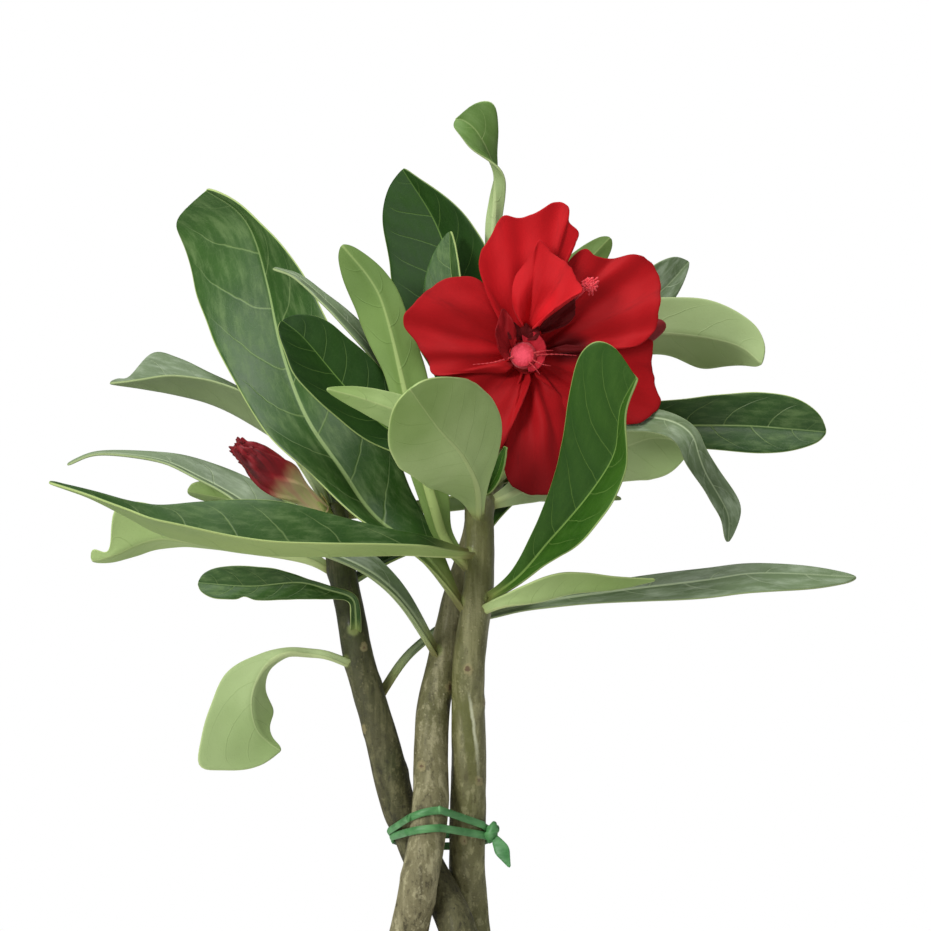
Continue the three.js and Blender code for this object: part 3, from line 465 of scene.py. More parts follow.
def stemMarks(name):
    # what swells a stem: height, facing, size, and whether it is a scar (1) or a leaf's foot (0)
    marks = [(height, math.radians(facing), size, 1) for on, height, facing, size in scars if on == name]
    for leaf in leaves.values():
        if leaf["on"] == name:
            away = Vector(leaf["rib"][0]) - stemCentre(name, leaf["at"])
            climb = away.z * stemRadius(name, leaf["at"]) / math.hypot(away.x, away.y)
            marks.append((leaf["at"] + min(climb, 6), math.atan2(away.y, away.x), 1.6, 0))
    return marks


def stemPiece(name, material):
    strand = stems[name]
    marks = stemMarks(name)
    tip = strand["points"][0][2]

    def radius(angle, share):
        centre = strand["route"].at(share)
        r = stemRadius(name, centre.z)
        x, y = math.cos(angle), math.sin(angle)
        # uneven growth
        r *= 1 + 0.05 * noise.noise(Vector((x * 1.3, y * 1.3, centre.z * 0.07 + strand["seed"])))
        r += 0.12 * noise.noise(Vector((x * 5, y * 5, centre.z * 0.2 + strand["seed"])))
        for height, facing, size, scarred in marks:
            rise = centre.z - height
            if abs(rise) > swell["reach"]:
                continue
            turn = (angle - facing + math.pi) % (2 * math.pi) - math.pi
            span = math.hypot(turn * r, rise * 1.3) / size
            r += swell["out"] * math.exp(-(span / swell["wide"]) ** 2)
            r -= swell["pit"] * scarred * math.exp(-(span / swell["pitWide"]) ** 2)
        past = centre.z - tip + 2
        return r * (1 if past < 0 else math.sqrt(max(0.05, 1 - (past / 3) ** 2)))  # the end is rounded

    piece = tube("stem" + name.title(), strand["route"], stemSize["sides"], stemSize["rings"], radius)
    for layer, scarred in (("scar", 1), ("shoot", 0)):
        spots = []
        for height, facing, size, kind in marks:
            if kind == scarred:
                out = Vector((math.cos(facing), math.sin(facing), 0)) * stemRadius(name, height)
                spots.append(((stemCentre(name, height) + out) * mm, size * mm))
        own = piece.data.attributes.new(name=layer, type="FLOAT", domain="POINT")
        for vertex in piece.data.vertices:
            near = [math.exp(-((vertex.co - spot).length / size) ** 2) for spot, size in spots]
            own.data[vertex.index].value = max(near)
    return finished(piece, ["stem_" + name], material, 80)


def barkMaterial(name, look):
    paint = Paint(name, Specular_IOR_Level=0.35, Coat_Roughness=0.16)
    place = paint.place()
    x, y, z = paint.parts(place)
    scar = paint.node("ShaderNodeAttribute", {"attribute_name": "scar"}, output=2)
    shoot = paint.node("ShaderNodeAttribute", {"attribute_name": "shoot"}, output=2)
    age = z.rise(0.28, 0.39, 1.0, 0.0)  # the lower stems are older and greyer
    cloud = paint.grain(paint.scaled(place, (1, 1, 0.3)), 110, 4).rise(0.36, 0.64)
    bands = paint.grain(paint.scaled(place, (1, 1, 0.07)), 330, 3, 0.6)
    fine = paint.grain(place, 800, 5, 0.75)
    mottle = paint.grain(paint.scaled(place, (1, 1, 0.55)), 420, 5, 0.7)
    wrinkle = paint.grain(paint.scaled(place, (0.5, 0.5, 2)), 520, 4, 0.65)
    spots = paint.cells(place, 700).rise(0.12, 0.3, 1.0, 0.0) * paint.grain(place, 70).rise(0.48, 0.62)
    skin = paint.blend(look["young"], look["old"], age * 0.7 + cloud * 0.3)
    patches = paint.grain(place, 40, 2).rise(0.45, 0.65) * (1 - age * 0.75) * 0.9
    skin = paint.blend(skin, look["green"], patches)
    skin = paint.blend(skin, look["pale"], bands.rise(0.5, 0.68) * 0.5)
    skin = paint.blend(skin, look["dark"], bands.rise(0.32, 0.46, 0.55, 0.0) * cloud)
    flecks = mottle.rise(0.52, 0.64) * (age * 0.6 + 0.15) + spots * 0.5
    skin = paint.blend(skin, look["pale"], flecks.least(0.8))
    skin = paint.blend(skin, look["dark"], mottle.rise(0.34, 0.46, 0.75, 0.0) * (age * 0.7 + 0.3))
    skin = paint.blend(skin, look["dark"], fine.rise(0.32, 0.42, 0.5, 0.0))
    torn = scar + (paint.grain(place, 900, 3, 0.7) - 0.5) * 0.9 * scar.rise(0.02, 0.3)
    skin = paint.blend(skin, (162, 150, 106), torn.rise(0.25, 0.5) * 0.5)
    skin = paint.blend(skin, (86, 54, 38), torn.rise(0.62, 0.85) * 0.75)
    skin = paint.blend(skin, (140, 152, 86), shoot.rise(0.15, 0.6) * 0.7)
    # the right stem has a long healed graze, an olive strip, with a pale painted highlight along its edge
    # where it shines
    away = x + z * 0.131 - 0.05095 + (paint.grain(place, 200, 2) - 0.5) * 0.0014
    near = z.rise(0.312, 0.319) * z.rise(0.335, 0.341, 1.0, 0.0) * y.rise(-0.004, -0.001, look["graze"], 0.0)
    strip = away.rise(-0.0036, -0.0026) * away.rise(-0.0008, 0.0, 0.75, 0.0)
    skin = paint.blend(skin, (88, 92, 26), strip * near)
    # painted highlight: the pale line along the graze's edge
    skin = paint.blend(skin, (208, 210, 178), away.size().rise(0.0001, 0.0007, 0.75, 0.0) * near)
    height = wrinkle * (age * 0.9 + 0.25) + mottle * 0.6 + fine * 0.4 + spots * 0.4
    smooth = paint.grain(place, 30, 2).rise(0.4, 0.6) * (1 - age * 0.8) * look["gloss"]
    return paint.done(skin, age * 0.2 + fine * 0.1 + 0.45, paint.bump(height, 0.0006, 0.7), smooth)


# leaves

bladeSize = {
    "rows": 44, "columns": 16, "thickness": 0.75, "ridge": 1.3, "reach": 0.14, "crowding": 1.2, "round": 14,
    "veins": 9, "slant": 6.3, "quilt": 0.09, "groove": 0.45, "grooveWidth": 0.8, "wavy": 0.035,
}
up = (0, 0, 1)
# Each leaf grows from a stem's centre "at" a height and follows its midrib's points, "rib".
# turn: degrees that its upper side is turned about the midrib, from base to tip
# fold: degrees that each half rises; face: where the upper side looks, if not to the front; skin: its look
# halves: the left and the right half's widths in equal steps. A plainer leaf has its width, where it is
# widest, and blunt, small for a round tip.
# stalk: the share of the length before the blade; petiole: the stalk's half width
# round: higher for a squarer tip; lead: how far a half leans on past the tip
# bites: side, place, span and depth of each notch in an edge
leaves = {
    "leaf_tall_left": {
        "on": "right", "at": 359, "turn": [70, 45, 5, -30, -60], "round": 40, "lead": (0.4, 0),
        "skin": "sheen",
        "halves": ([1.5, 6, 7.5, 10, 12.5, 13.5, 15.5, 18.5, 21.5, 21.5, 20],
                   [1.5, 7, 13, 15.5, 17, 18, 17.5, 16.5, 12.5, 5, 3.5]),
        "rib": [(-5, -9, 376), (-19, -6, 387), (-28, 3, 400), (-38, 13, 415), (-45, 24, 434),
                (-49, 32, 452), (-53, 37, 466), (-58, 40, 474), (-67, 42, 480)],
    },
    "leaf_broad_left": {
        "on": "middle", "at": 392, "turn": [30], "skin": "dark",
        "halves": ([1.5, 4, 6.5, 8, 8, 9.8, 11.4, 12.8, 13, 10.5, 8],
                   [1.5, 3, 4, 5.5, 8.5, 9.9, 10.9, 10.8, 9.4, 8.3, 6]),
        "rib": [(-4, -5, 405), (-16, -6, 411), (-27, -6, 422), (-38, -5, 435), (-44, -4, 440)],
    },
    "leaf_slim_left": {
        "on": "right", "at": 391, "width": 11, "turn": [180], "fold": 15, "widest": 0.45, "blunt": 0.7,
        "skin": "fresh", "rib": [(3, -22, 401), (-8, -34, 411), (-20, -38, 416), (-31, -40, 419)],
    },
    "leaf_front_round": {
        "on": "right", "at": 385, "turn": [185], "fold": 10, "skin": "fresh",
        "halves": ([1.5, 2.4, 4.8, 9.5, 14.2, 16.3, 16.5, 15.8, 14.2, 11.3, 8],
                   [1.5, 4.6, 9.5, 11.6, 12.3, 12.9, 13.5, 14.4, 13.4, 10.8, 8]),
        "rib": [(8, -20, 395), (4, -40, 402), (-2, -58, 408), (-9, -74, 417)],
    },
    "leaf_pale_upright": {
        "on": "right", "at": 370, "turn": [175], "skin": "leafy",
        "halves": ([1.5, 2.5, 4.5, 5.7, 6.4, 6.8, 6.8, 5.8, 5.5, 5, 4],
                   [1.5, 2.5, 3.5, 4, 4.2, 4.4, 5, 7.2, 8.4, 8, 6]),
        "rib": [(0, -8, 381), (-3, -13, 390), (-7, -13.5, 404), (-11, -9.7, 422), (-16, -2.5, 442),
                (-20, 1, 451), (-28, 4, 461)],
    },
    "leaf_dark_upright": {
        "on": "middle", "at": 400, "turn": [-28], "fold": 15, "skin": "dark",
        "halves": ([1.5, 5, 8, 11, 14, 17, 17.5, 17.1, 16, 14.4, 11],
                   [1.5, 5, 8, 10, 11.5, 13.2, 14.4, 12.4, 9.2, 5.4, 2]),
        "rib": [(7.5, 9.5, 409), (7, 14, 431), (-1, 26, 465), (-12, 32, 485)],
    },
    "leaf_dark_small": {
        "on": "middle", "at": 405, "width": 19, "turn": [-46], "fold": 30, "widest": 0.6, "blunt": 0.8,
        "skin": "sheen", "rib": [(7.5, 5, 411.5), (6.5, 8, 426), (2, 12, 451), (1, 16, 466)],
    },
    "leaf_top_curled": {
        "on": "middle", "at": 406.5, "turn": [190, 190, 190, 190, 190, 190, 185, 120, 20, -10],
        "petiole": 1.6, "round": 40, "lead": (0, 0.12), "skin": "pale",
        "halves": ([1.6, 2.2, 2.6, 3, 3, 2.4, 2.2, 2.4, 3.5, 5, 4],
                   [1.6, 1.9, 2.2, 2.4, 2.6, 2.8, 3, 3, 3, 2.7, 2.4, 2.3, 2.2, 2.2, 2.2, 2.2, 2.2, 3.2, 6.2,
                    9.6, 8]),
        "rib": [(12.6, 12, 413.5), (14, 19, 439), (13, 20, 464), (13.9, 20, 475), (14.2, 20, 482),
                (12.5, 20, 486.6), (10.6, 18, 490.6), (7.8, 17, 494.6), (4.5, 17.5, 497), (2.6, 18, 497)],
    },
    "leaf_left_upper": {
        "on": "left", "at": 386, "turn": [88, 85, 75, 62], "fold": 43, "skin": "grey",
        "bites": [(1, 0.95, 0.03, 0.7)],
        "halves": ([1.5, 3, 5.5, 8, 10, 11.5, 11.6, 11.3, 10.6, 6, 2],
                   [1.5, 3, 4.5, 6, 7.5, 8.4, 8.6, 9.4, 12, 12.5, 2]),
        "rib": [(-40, 17, 405), (-49, 25, 412), (-64, 31, 420), (-81, 34, 424), (-93, 35, 426)],
    },
    "leaf_left_arched": {
        "on": "middle", "at": 348, "turn": [55, 55, 55, 65], "fold": 25, "skin": "grey",
        "halves": ([1.5, 2.5, 4, 6, 7, 7, 6, 4, 2.5, 1.5, 0.8],
                   [1.5, 2.5, 4, 6, 7.5, 8, 7.8, 6, 2.8, 1.3, 0.8]),
        "rib": [(-11, -15, 364), (-20, -18, 372), (-29, -15.4, 376.2), (-38, -13.2, 379.4),
                (-47, -7.2, 385.4), (-56, 0, 392.5), (-66, 4, 398), (-77, 7, 403), (-94, 9, 405),
                (-103, 10, 402)],
    },
    "leaf_left_short": {
        "on": "left", "at": 380, "width": 9, "turn": [130], "fold": 15, "widest": 0.75, "blunt": 0.4,
        "skin": "fresh", "rib": [(-39, 9, 388), (-53, 10, 392), (-70, 10, 395)],
    },
    "leaf_left_long": {
        "on": "right", "at": 377, "turn": [62, 62, 60, 55], "fold": 40, "skin": "sheen",
        "halves": ([1.5, 4, 8, 10.5, 13, 15, 16, 17, 12, 6, 1.5],
                   [1.5, 4.4, 6.1, 9.7, 13.4, 15.4, 14.4, 10.9, 4.8, 2.2, 1]),
        "rib": [(-4, -22, 377), (-12, -28, 377), (-38, -36, 376), (-54, -38, 377), (-73, -37, 381),
                (-83, -36, 386), (-93, -36, 391), (-104, -36, 395)],
    },
    "leaf_left_forked": {
        "on": "left", "at": 371, "turn": [135], "fold": 30, "skin": "fresh",
        "bites": [(0, 0.93, 0.055, 0.9)],
        "halves": ([1.5, 2, 3, 4.5, 6, 7, 7.5, 8.5, 12.2, 14, 8],
                   [1.5, 2, 2.5, 3, 3.5, 4, 5, 8.5, 9.5, 7.2, 5]),
        "rib": [(-37, 6, 376), (-53, 10, 379), (-67, 10, 381), (-76, 8, 382), (-82, 8, 381), (-91, 8, 377),
                (-96, 9, 376)],
    },
    "leaf_left_lower": {
        "on": "left", "at": 353, "turn": [0, 0, 0, 10], "fold": 15, "stalk": 0.3, "skin": "sheen",
        "bites": [(0, 0.69, 0.025, 0.35)],
        "halves": ([1.2, 2.2, 3.3, 4.5, 4.7, 4.4, 4.1, 3.8, 4.1, 4.5, 4],
                   [1, 1, 1, 1.2, 2.6, 4.3, 5.1, 5.5, 5.3, 4.8, 4]),
        "rib": [(-24, -8, 361), (-25, -11, 365), (-31, -13, 367), (-39, -14, 369), (-52, -15, 368),
                (-66, -13, 369)],
    },
    "leaf_hooked": {
        "on": "left", "at": 347, "turn": [80, 110, 150, 160, 160], "fold": 25, "round": 40, "skin": "pale",
        "halves": ([1.5, 1.2, 1.2, 1.2, 1.2, 1.2, 1.2, 1.2, 1.5, 2.4, 3.6, 5.8, 8, 9.2, 10.5, 12.8, 15.5,
                    18.5, 14, 10, 6],
                   [1.5, 2.5, 2.5, 2.5, 2.5, 2.6, 4.5, 7.5, 7.5, 3, 1.5]),
        "rib": [(-31, -5, 350), (-36.2, -6, 350.6), (-42.8, -9, 350.5), (-48, -10, 347.3),
                (-51, -11, 342.2), (-52, -12, 336.3), (-50.7, -12, 330), (-47.8, -11, 326.5),
                (-44, -11, 323.8)],
    },
    "leaf_front_right": {
        "on": "right", "at": 363, "turn": [-25, -28, -38, -40], "fold": 32, "lead": (0.8, 0), "stalk": 0.1,
        "skin": "leafy",
        "halves": ([1.5, 2.3, 3.5, 5.3, 8, 10.8, 13.5, 15, 15.8, 16, 17],
                   [1.5, 2.5, 5, 8.7, 13.2, 16.5, 15.5, 11, 8.5, 4, 2]),
        "rib": [(19, -14, 370), (27, -20, 379), (36, -28, 389), (42, -33, 397), (45, -36, 403),
                (45.6, -40, 409), (46.3, -43, 414.5), (50, -48, 421.5)],
    },
    "leaf_right_upper": {
        "on": "middle", "at": 400, "turn": [195], "fold": 25, "petiole": 1.3, "skin": "pale",
        "halves": ([1.3, 2, 3, 4.5, 5.5, 6.2, 6.8, 7.6, 10.8, 8, 4],
                   [1.3, 3, 5, 7, 8.5, 9.5, 9.8, 10.2, 10.8, 9.3, 9]),
        "rib": [(21.8, 6.2, 405.5), (31, 19, 423.5), (45, 28, 436), (57, 28, 439), (70, 26, 438),
                (81, 23, 435), (87, 20, 430)],
    },
    "leaf_right_grey": {
        "on": "middle", "at": 404.5, "turn": [0], "fold": 10, "round": 30, "petiole": 1.1, "skin": "grey",
        "halves": ([1.1, 2, 3, 4, 5, 6, 6.8, 7.4, 7.5, 7, 5], [1.1, 2, 3, 4, 4.8, 5.4, 6, 6, 5.4, 4, 1.5]),
        "rib": [(20.2, 10.4, 411), (30, 32, 430), (48, 42, 444), (60, 44, 452), (68, 46, 460.5)],
    },
    "leaf_right_slim": {
        "on": "middle", "at": 408, "width": 11, "turn": [180], "fold": 10, "widest": 0.7, "petiole": 1,
        "skin": "leafy", "rib": [(16.8, 12, 416.5), (22, 26, 440), (35, 44, 455.5), (46, 51, 467.5)],
    },
    "leaf_right_broad": {
        "on": "middle", "at": 396.3, "turn": [0], "skin": "sheen",
        "halves": ([1.5, 3, 4.5, 5.5, 6.5, 7, 7.6, 8.8, 9.9, 10.4, 9],
                   [1.5, 3, 4, 5, 5.5, 6, 6.5, 7.4, 8.2, 7.6, 6]),
        "rib": [(20.7, 4.5, 400), (42, 20, 411.5), (59, 22, 413), (81, 20, 413), (94, 18, 412),
                (104, 16, 411)],
    },
    "leaf_right_pale": {
        "on": "right", "at": 389, "turn": [180], "fold": 10, "skin": "pale",
        "halves": ([1.5, 3, 4.5, 5.5, 6.5, 7.5, 8.2, 9.7, 11.3, 10.8, 8],
                   [1.5, 3, 5, 7, 8.5, 9.5, 9.5, 8.5, 6, 3, 1.5]),
        "rib": [(18, -3, 393), (31, 6, 399), (50, 12, 407), (58, 12, 409), (67, 11, 407)],
    },
    "leaf_right_drooping": {
        "on": "middle", "at": 394.5, "turn": [-30, -30, -25, -10, 0, 0], "skin": "grey",
        "halves": ([1.2, 2, 2.5, 3, 3, 2.5, 2, 2.2, 4, 4.8, 2.5],
                   [1.2, 2.5, 3.5, 4.5, 5, 5, 5.5, 5, 3, 3, 2]),
        "rib": [(18, -0.6, 400.8), (34, 0, 412), (50, -1, 414), (60, -6, 413), (66, -11, 409),
                (68, -12, 403), (70, -11, 398), (73, -10, 393), (76, -9, 387), (76, -7, 380)],
    },
    "leaf_right_folded": {
        "on": "right", "at": 361.5, "turn": [-100], "fold": 30, "skin": "fresh",
        "halves": ([1.5, 2, 3, 5, 6.5, 7, 6, 5, 3.5, 2, 0.8],
                   [1.5, 2, 3.2, 5.6, 7.7, 8, 6.8, 5.6, 4.2, 2.4, 0.8]),
        "rib": [(16, -11, 364), (25, -14, 365), (34, -15, 367), (46, -15, 368), (56, -14, 370)],
    },
    "leaf_right_long": {
        "on": "left", "at": 336, "turn": [-48], "fold": 5, "stalk": 0.2, "skin": "grey",
        "halves": ([1.5, 2, 2.5, 3.2, 4, 4.6, 4.8, 4.4, 3.9, 3.7, 2.5],
                   [1.5, 1.5, 2, 3, 4.2, 5.9, 7.5, 8.5, 8.5, 7, 4]),
        "rib": [(-12, 7, 348), (-6, 12, 354), (1, 13, 359), (11, 13, 361), (23, 9, 364), (43, 4, 367),
                (69, 0, 370), (85, -2, 372), (111, 0, 371)],
    },
    "leaf_middle_small": {
        "on": "left", "at": 369, "width": 7, "turn": [-60], "fold": 15, "widest": 0.6, "blunt": 0.5,
        "skin": "dark", "rib": [(-18, 10, 375), (-10, 16, 379), (-1, 20, 383)],
    },
    "leaf_middle_long": {
        "on": "left", "at": 388, "width": 14, "turn": [-100], "fold": 15, "widest": 0.6, "blunt": 0.6,
        "skin": "dark", "rib": [(-12, 14, 390), (3, 18, 391), (20, 18, 393), (37, 16, 393), (48, 14, 393)],
    },
    "leaf_tip_small": {
        "on": "right", "at": 392.5, "width": 4, "turn": [-30], "fold": 30, "widest": 0.5, "blunt": 0.8,
        "petiole": 1, "skin": "leafy", "rib": [(12.5, -12, 395.5), (14.5, -16.5, 399.5), (16, -18.5, 405)],
    },
    "leaf_grey_left": {
        "on": "middle", "at": 395, "turn": [50], "fold": 25, "skin": "grey",
        "halves": ([1.5, 2, 3, 4, 5, 6, 7, 6, 4, 2.5, 1], [1.5, 2, 2.5, 3, 3, 3, 3.2, 2.6, 1.6, 1.2, 0.8]),
        "rib": [(1, 6, 407), (-8, 6, 419), (-18, 6, 431), (-26, 6, 440), (-32, 7, 446), (-40, 10, 453),
                (-47, 14, 456)],
    },
    "leaf_back_top": {
        "on": "middle", "at": 399.5, "width": 24, "face": up, "skin": "dark",
        "rib": [(14.5, 26, 416), (19, 58, 433), (21, 88, 440)],
    },
    "leaf_back_left": {
        "on": "left", "at": 385, "width": 22, "face": up, "skin": "sheen",
        "rib": [(-34, 28, 401), (-41, 56, 417), (-46, 84, 424)],
    },
    "leaf_back_right": {
        "on": "middle", "at": 394.5, "width": 22, "face": up, "skin": "dark",
        "rib": [(16, 12, 400.5), (29, 32, 411), (43, 60, 424), (53, 86, 429)],
    },
    "leaf_back_middle": {
        "on": "middle", "at": 390, "width": 24, "face": up, "skin": "leafy",
        "rib": [(7, 13, 401), (5, 34, 409), (-2, 62, 418), (-5, 90, 421)],
    },
    "leaf_back_lower_left": {
        "on": "left", "at": 376, "width": 20, "face": up, "skin": "dark",
        "rib": [(-34, 24, 384), (-48, 50, 388), (-61, 74, 389)],
    },
    "leaf_back_lower_right": {
        "on": "middle", "at": 380, "width": 20, "face": up, "skin": "leafy",
        "rib": [(9.5, 14, 383), (13, 28, 390), (24, 54, 402), (38, 80, 407)],
    },
}

barkLooks = {
    "left": {"young": (62, 67, 32), "old": (80, 76, 50), "pale": (118, 115, 80),
             "green": (46, 58, 20), "dark": (32, 30, 18), "gloss": 0.15, "graze": 0.0},
    "middle": {"young": (110, 108, 70), "old": (126, 120, 88), "pale": (176, 170, 134),
               "green": (82, 84, 44), "dark": (56, 50, 32), "gloss": 0.1, "graze": 0.0},
    "right": {"young": (96, 98, 53), "old": (114, 110, 74), "pale": (158, 155, 112),
              "green": (90, 94, 38), "dark": (74, 70, 36), "gloss": 0.9, "graze": 1.0},
}
for stemName, barkLook in barkLooks.items():
    stemPiece(stemName, barkMaterial("bark" + stemName.title(), barkLook))
print("stems grown")


def camel(node):
    first, *rest = node.split("_")
    return first + "".join(word.title() for word in rest)


def bladeRows(leaf, rows):
    # for each row: centre, across, upper side's direction, half widths, fold and share of the length
    route = Route([stemCentre(leaf["on"], leaf["at"])] + leaf["rib"])
    facing = Vector(leaf.get("face", (0, -1, 0)))
    stalk, petiole = leaf.get("stalk", 0.05), leaf.get("petiole", 1.5)
    widest, blunt = leaf.get("widest", 0.65), leaf.get("blunt", 0.5)
    fold = math.radians(leaf.get("fold", 20))
    made = []
    for i in range(rows + 1):
        u = 1 - (1 - i / rows) ** bladeSize["crowding"]
        ahead = route.ahead(u, bladeSize["reach"])
        front = (facing - ahead * facing.dot(ahead)).normalized()
        turn = math.radians(along(leaf.get("turn", [0]), u))
        upper = front * math.cos(turn) + ahead.cross(front) * math.sin(turn)
        v = min(max((u - stalk) / (1 - stalk), 0), 1)
        halves = []
        for side in (0, 1):
            if "halves" in leaf:
                rounded = math.sqrt(1 - v ** leaf.get("round", bladeSize["round"]))
                wide = along(leaf["halves"][side], v) * rounded
            else:
                rise = blunt * widest / (1 - widest)
                share = v ** rise * (1 - v) ** blunt / (widest ** rise * (1 - widest) ** blunt)
                wide = share * leaf["width"] / 2
            for bitten, where, span, depth in leaf.get("bites", []):
                if bitten == side:
                    wide *= 1 - depth * math.exp(-((v - where) / span) ** 2)
            halves.append(max(wide, petiole * (1 - 0.6 * u) * (1 if i < rows else 0.25)))
        made.append((route.at(u), ahead.cross(upper), upper, halves, fold, u))
    return made, route.length


def leafPiece(node, leaf):
    rows, columns = bladeSize["rows"], bladeSize["columns"]
    made, length = bladeRows(leaf, rows)
    seed = sum(ord(letter) for letter in node) * 0.37
    wide = max(sum(row[3]) for row in made)

    def place(s, share):
        centre, across, upper, halves, fold, u = made[round(share * rows)]
        half = halves[0 if s < 0 else 1]
        out = half * abs(s)
        body = ease(0.05, 0.3, u) * min(1, half / 4)
        rise = math.sin(fold) * out * (1 + 0.22 * (1 - abs(s)) * body)
        # soft quilting between the side veins, and an edge that isn't quite even
        wave = u * bladeSize["veins"] - out / length * bladeSize["slant"]
        quilt = bladeSize["quilt"] * math.sin(wave * 2 * math.pi) * math.sin(math.pi * abs(s))
        edge = bladeSize["wavy"] * wide * s * s * noise.noise(Vector((u * 4, seed, 2.3 if s < 0 else 7.9)))
        groove = -bladeSize["groove"] * math.exp(-(out / bladeSize["grooveWidth"]) ** 2) * (1 - 0.7 * u)
        rim = 1 + 0.02 * abs(s) ** 6 * noise.noise(Vector((u * 14, seed, s)))
        lead = leaf.get("lead", (0, 0))[0 if s < 0 else 1] * out * ease(0.7, 0.95, u)
        beside = math.copysign(math.cos(fold) * out * rim, s)
        above = rise + (quilt + groove + edge) * body
        return centre + upper.cross(across) * lead + across * beside + upper * above

    piece = sheet(camel(node), columns, rows, place)
    # the second map runs in shares of the leaf's length, so that veins keep their slant
    own = piece.data.uv_layers.new(name="leafPlace")
    for loop in piece.data.loops:
        s, share = [2 * value - 1 for value in piece.data.uv_layers[0].uv[loop.index].vector]
        halves, _, u = made[round((share + 1) / 2 * rows)][3:]
        own.uv[loop.index].vector = (0.5 + s * halves[0 if s < 0 else 1] / length, u)
    # thickness: a thick rib that thins towards the tip and the edges
    group = piece.vertex_groups.new(name="thick")
    most = bladeSize["thickness"] + bladeSize["ridge"]
    count = columns + 1
    for vertex in piece.data.vertices:
        s, share = 2 * (vertex.index % count) / columns - 1, (vertex.index // count) / rows
        inside = (1 - abs(s)) ** 2 * (1 - made[round(share * rows)][5])
        group.add([vertex.index], (bladeSize["thickness"] + bladeSize["ridge"] * inside) / most, "REPLACE")
    for side in ("upper", "under"):
        piece.data.materials.append(leafMaterials[leaf["skin"]][side])
    modify(piece, "SOLIDIFY", thickness=most * mm, offset=-1, vertex_group="thick", material_offset=1,
           material_offset_rim=1, use_even_offset=False)
    smoother(piece)
    return finished(piece, [node], angle=70)


def leafVeins(paint, spread):
    # rib, side veins that leave it aslant and bend towards the tip, fine net, margin, place on the blade
    place = paint.place()
    x, v = paint.map("leafPlace")
    s = paint.map("UVMap")[0]
    out = (x - 0.5).size()
    edge = (s * 2 - 1).size()
    warp = paint.grain(place, 60, 3) - 0.5
    rib = (out - v.rise(0.0, 1.0, spread, 0.0003)).rise(0.0, 0.0025, 1.0, 0.0)
    side = ((x - 0.5) * 4000).rise(-1, 1, 0.0, 0.37)  # the two halves' veins don't meet
    wave = v * bladeSize["veins"] + side - out * bladeSize["slant"] - edge * edge * edge * 0.7 + warp * 0.55
    phase = (wave.fraction() - 0.5).size()
    fade = edge.rise(0.6, 0.95, 1.0, 0.1) * v.rise(0.06, 0.2) * v.rise(0.88, 0.98, 1.0, 0.2)
    veins = phase.rise(0.0, 0.034, 1.0, 0.0) * fade
    wobble = paint.grain(place, 200, 2) * 0.02
    net = paint.cells(paint.vector((x - 0.5) * 1.2 + wobble, v + wobble), 60, "DISTANCE_TO_EDGE")
    return rib, phase, veins, net.rise(0.0, 0.05, 1.0, 0.0), edge, x, v


def leafUpper(name, look):
    paint = Paint(name, Specular_IOR_Level=look["shine"])
    place = paint.place()
    rib, phase, veins, net, edge, x, v = leafVeins(paint, 0.0034)
    cloud = paint.grain(place, 24, 4).rise(0.3, 0.7)
    fine = paint.grain(place, 900, 4, 0.65)
    dustSheenStreaks = paint.grain(paint.vector(x * 62, v * 15, x + v), 1.0, 5, 0.62).rise(0.42, 0.75)
    skin = paint.blend(look["deep"], look["mid"], cloud * 0.7 + phase.rise(0.0, 0.5) * 0.2)
    # pale streaks: dust on the leaf, and painted sheen where its glossy upper side shines
    skin = paint.blend(skin, look["bloom"], dustSheenStreaks * look["dusty"])
    skin = paint.blend(skin, look["vein"], veins * 0.38 + net * 0.04)
    lines = (edge.rise(0.972, 0.998) * 0.6).most(rib * v.rise(0.7, 1.0, 0.9, 0.4))
    skin = paint.blend(skin, look["vein"], lines)
    # the foot is paler, and its end takes the bark's colour
    skin = paint.blend(skin, (150, 162, 88), v.rise(0.03, 0.18, 1.0, 0.0) * edge.rise(0.0, 1.0, 0.95, 0.6))
    skin = paint.blend(skin, (104, 98, 56), v.rise(0.04, 0.09, 0.85, 0.0))
    rough = cloud * 0.12 + fine * 0.1 + dustSheenStreaks * 0.1 + look["rough"]
    height = fine * 0.12 + net * -0.05 + veins * -0.4 + phase.rise(0.0, 0.5) * 0.25
    return paint.done(skin, rough, paint.bump(height, 0.0005, 0.5))


def leafUnder(name, look):
    paint = Paint(name, Specular_IOR_Level=0.35)
    place = paint.place()
    rib, _, veins, net, edge, _, v = leafVeins(paint, 0.006)
    cloud = paint.grain(place, 26, 4).rise(0.3, 0.7)
    speck = paint.cells(place, 1100).rise(0.1, 0.35, 1.0, 0.0)
    fine = paint.grain(place, 1000, 3)
    skin = paint.blend(look["underDeep"], look["underPale"], cloud * 0.5 + v.rise(0.25, 0.95, 0.45, 0.0))
    skin = paint.blend(skin, look["underDeep"], (veins * 0.3 + net * 0.1 + speck * 0.12).least(1))
    lines = (rib * v.rise(0.2, 0.95, 0.75, 0.3)).most(edge.rise(0.972, 0.998) * 0.5)
    skin = paint.blend(skin, look["underVein"], lines)
    skin = paint.blend(skin, (164, 172, 100), v.rise(0.02, 0.14, 0.85, 0.0))
    skin = paint.blend(skin, (112, 106, 62), v.rise(0.04, 0.09, 0.8, 0.0))
    height = rib * v.rise(0.2, 1.0, 1.0, 0.3) + veins * 0.3 + speck * 0.05 + fine * 0.1
    return paint.done(skin, cloud * 0.1 + fine * 0.1 + look["underRough"], paint.bump(height, 0.0005, 0.45))
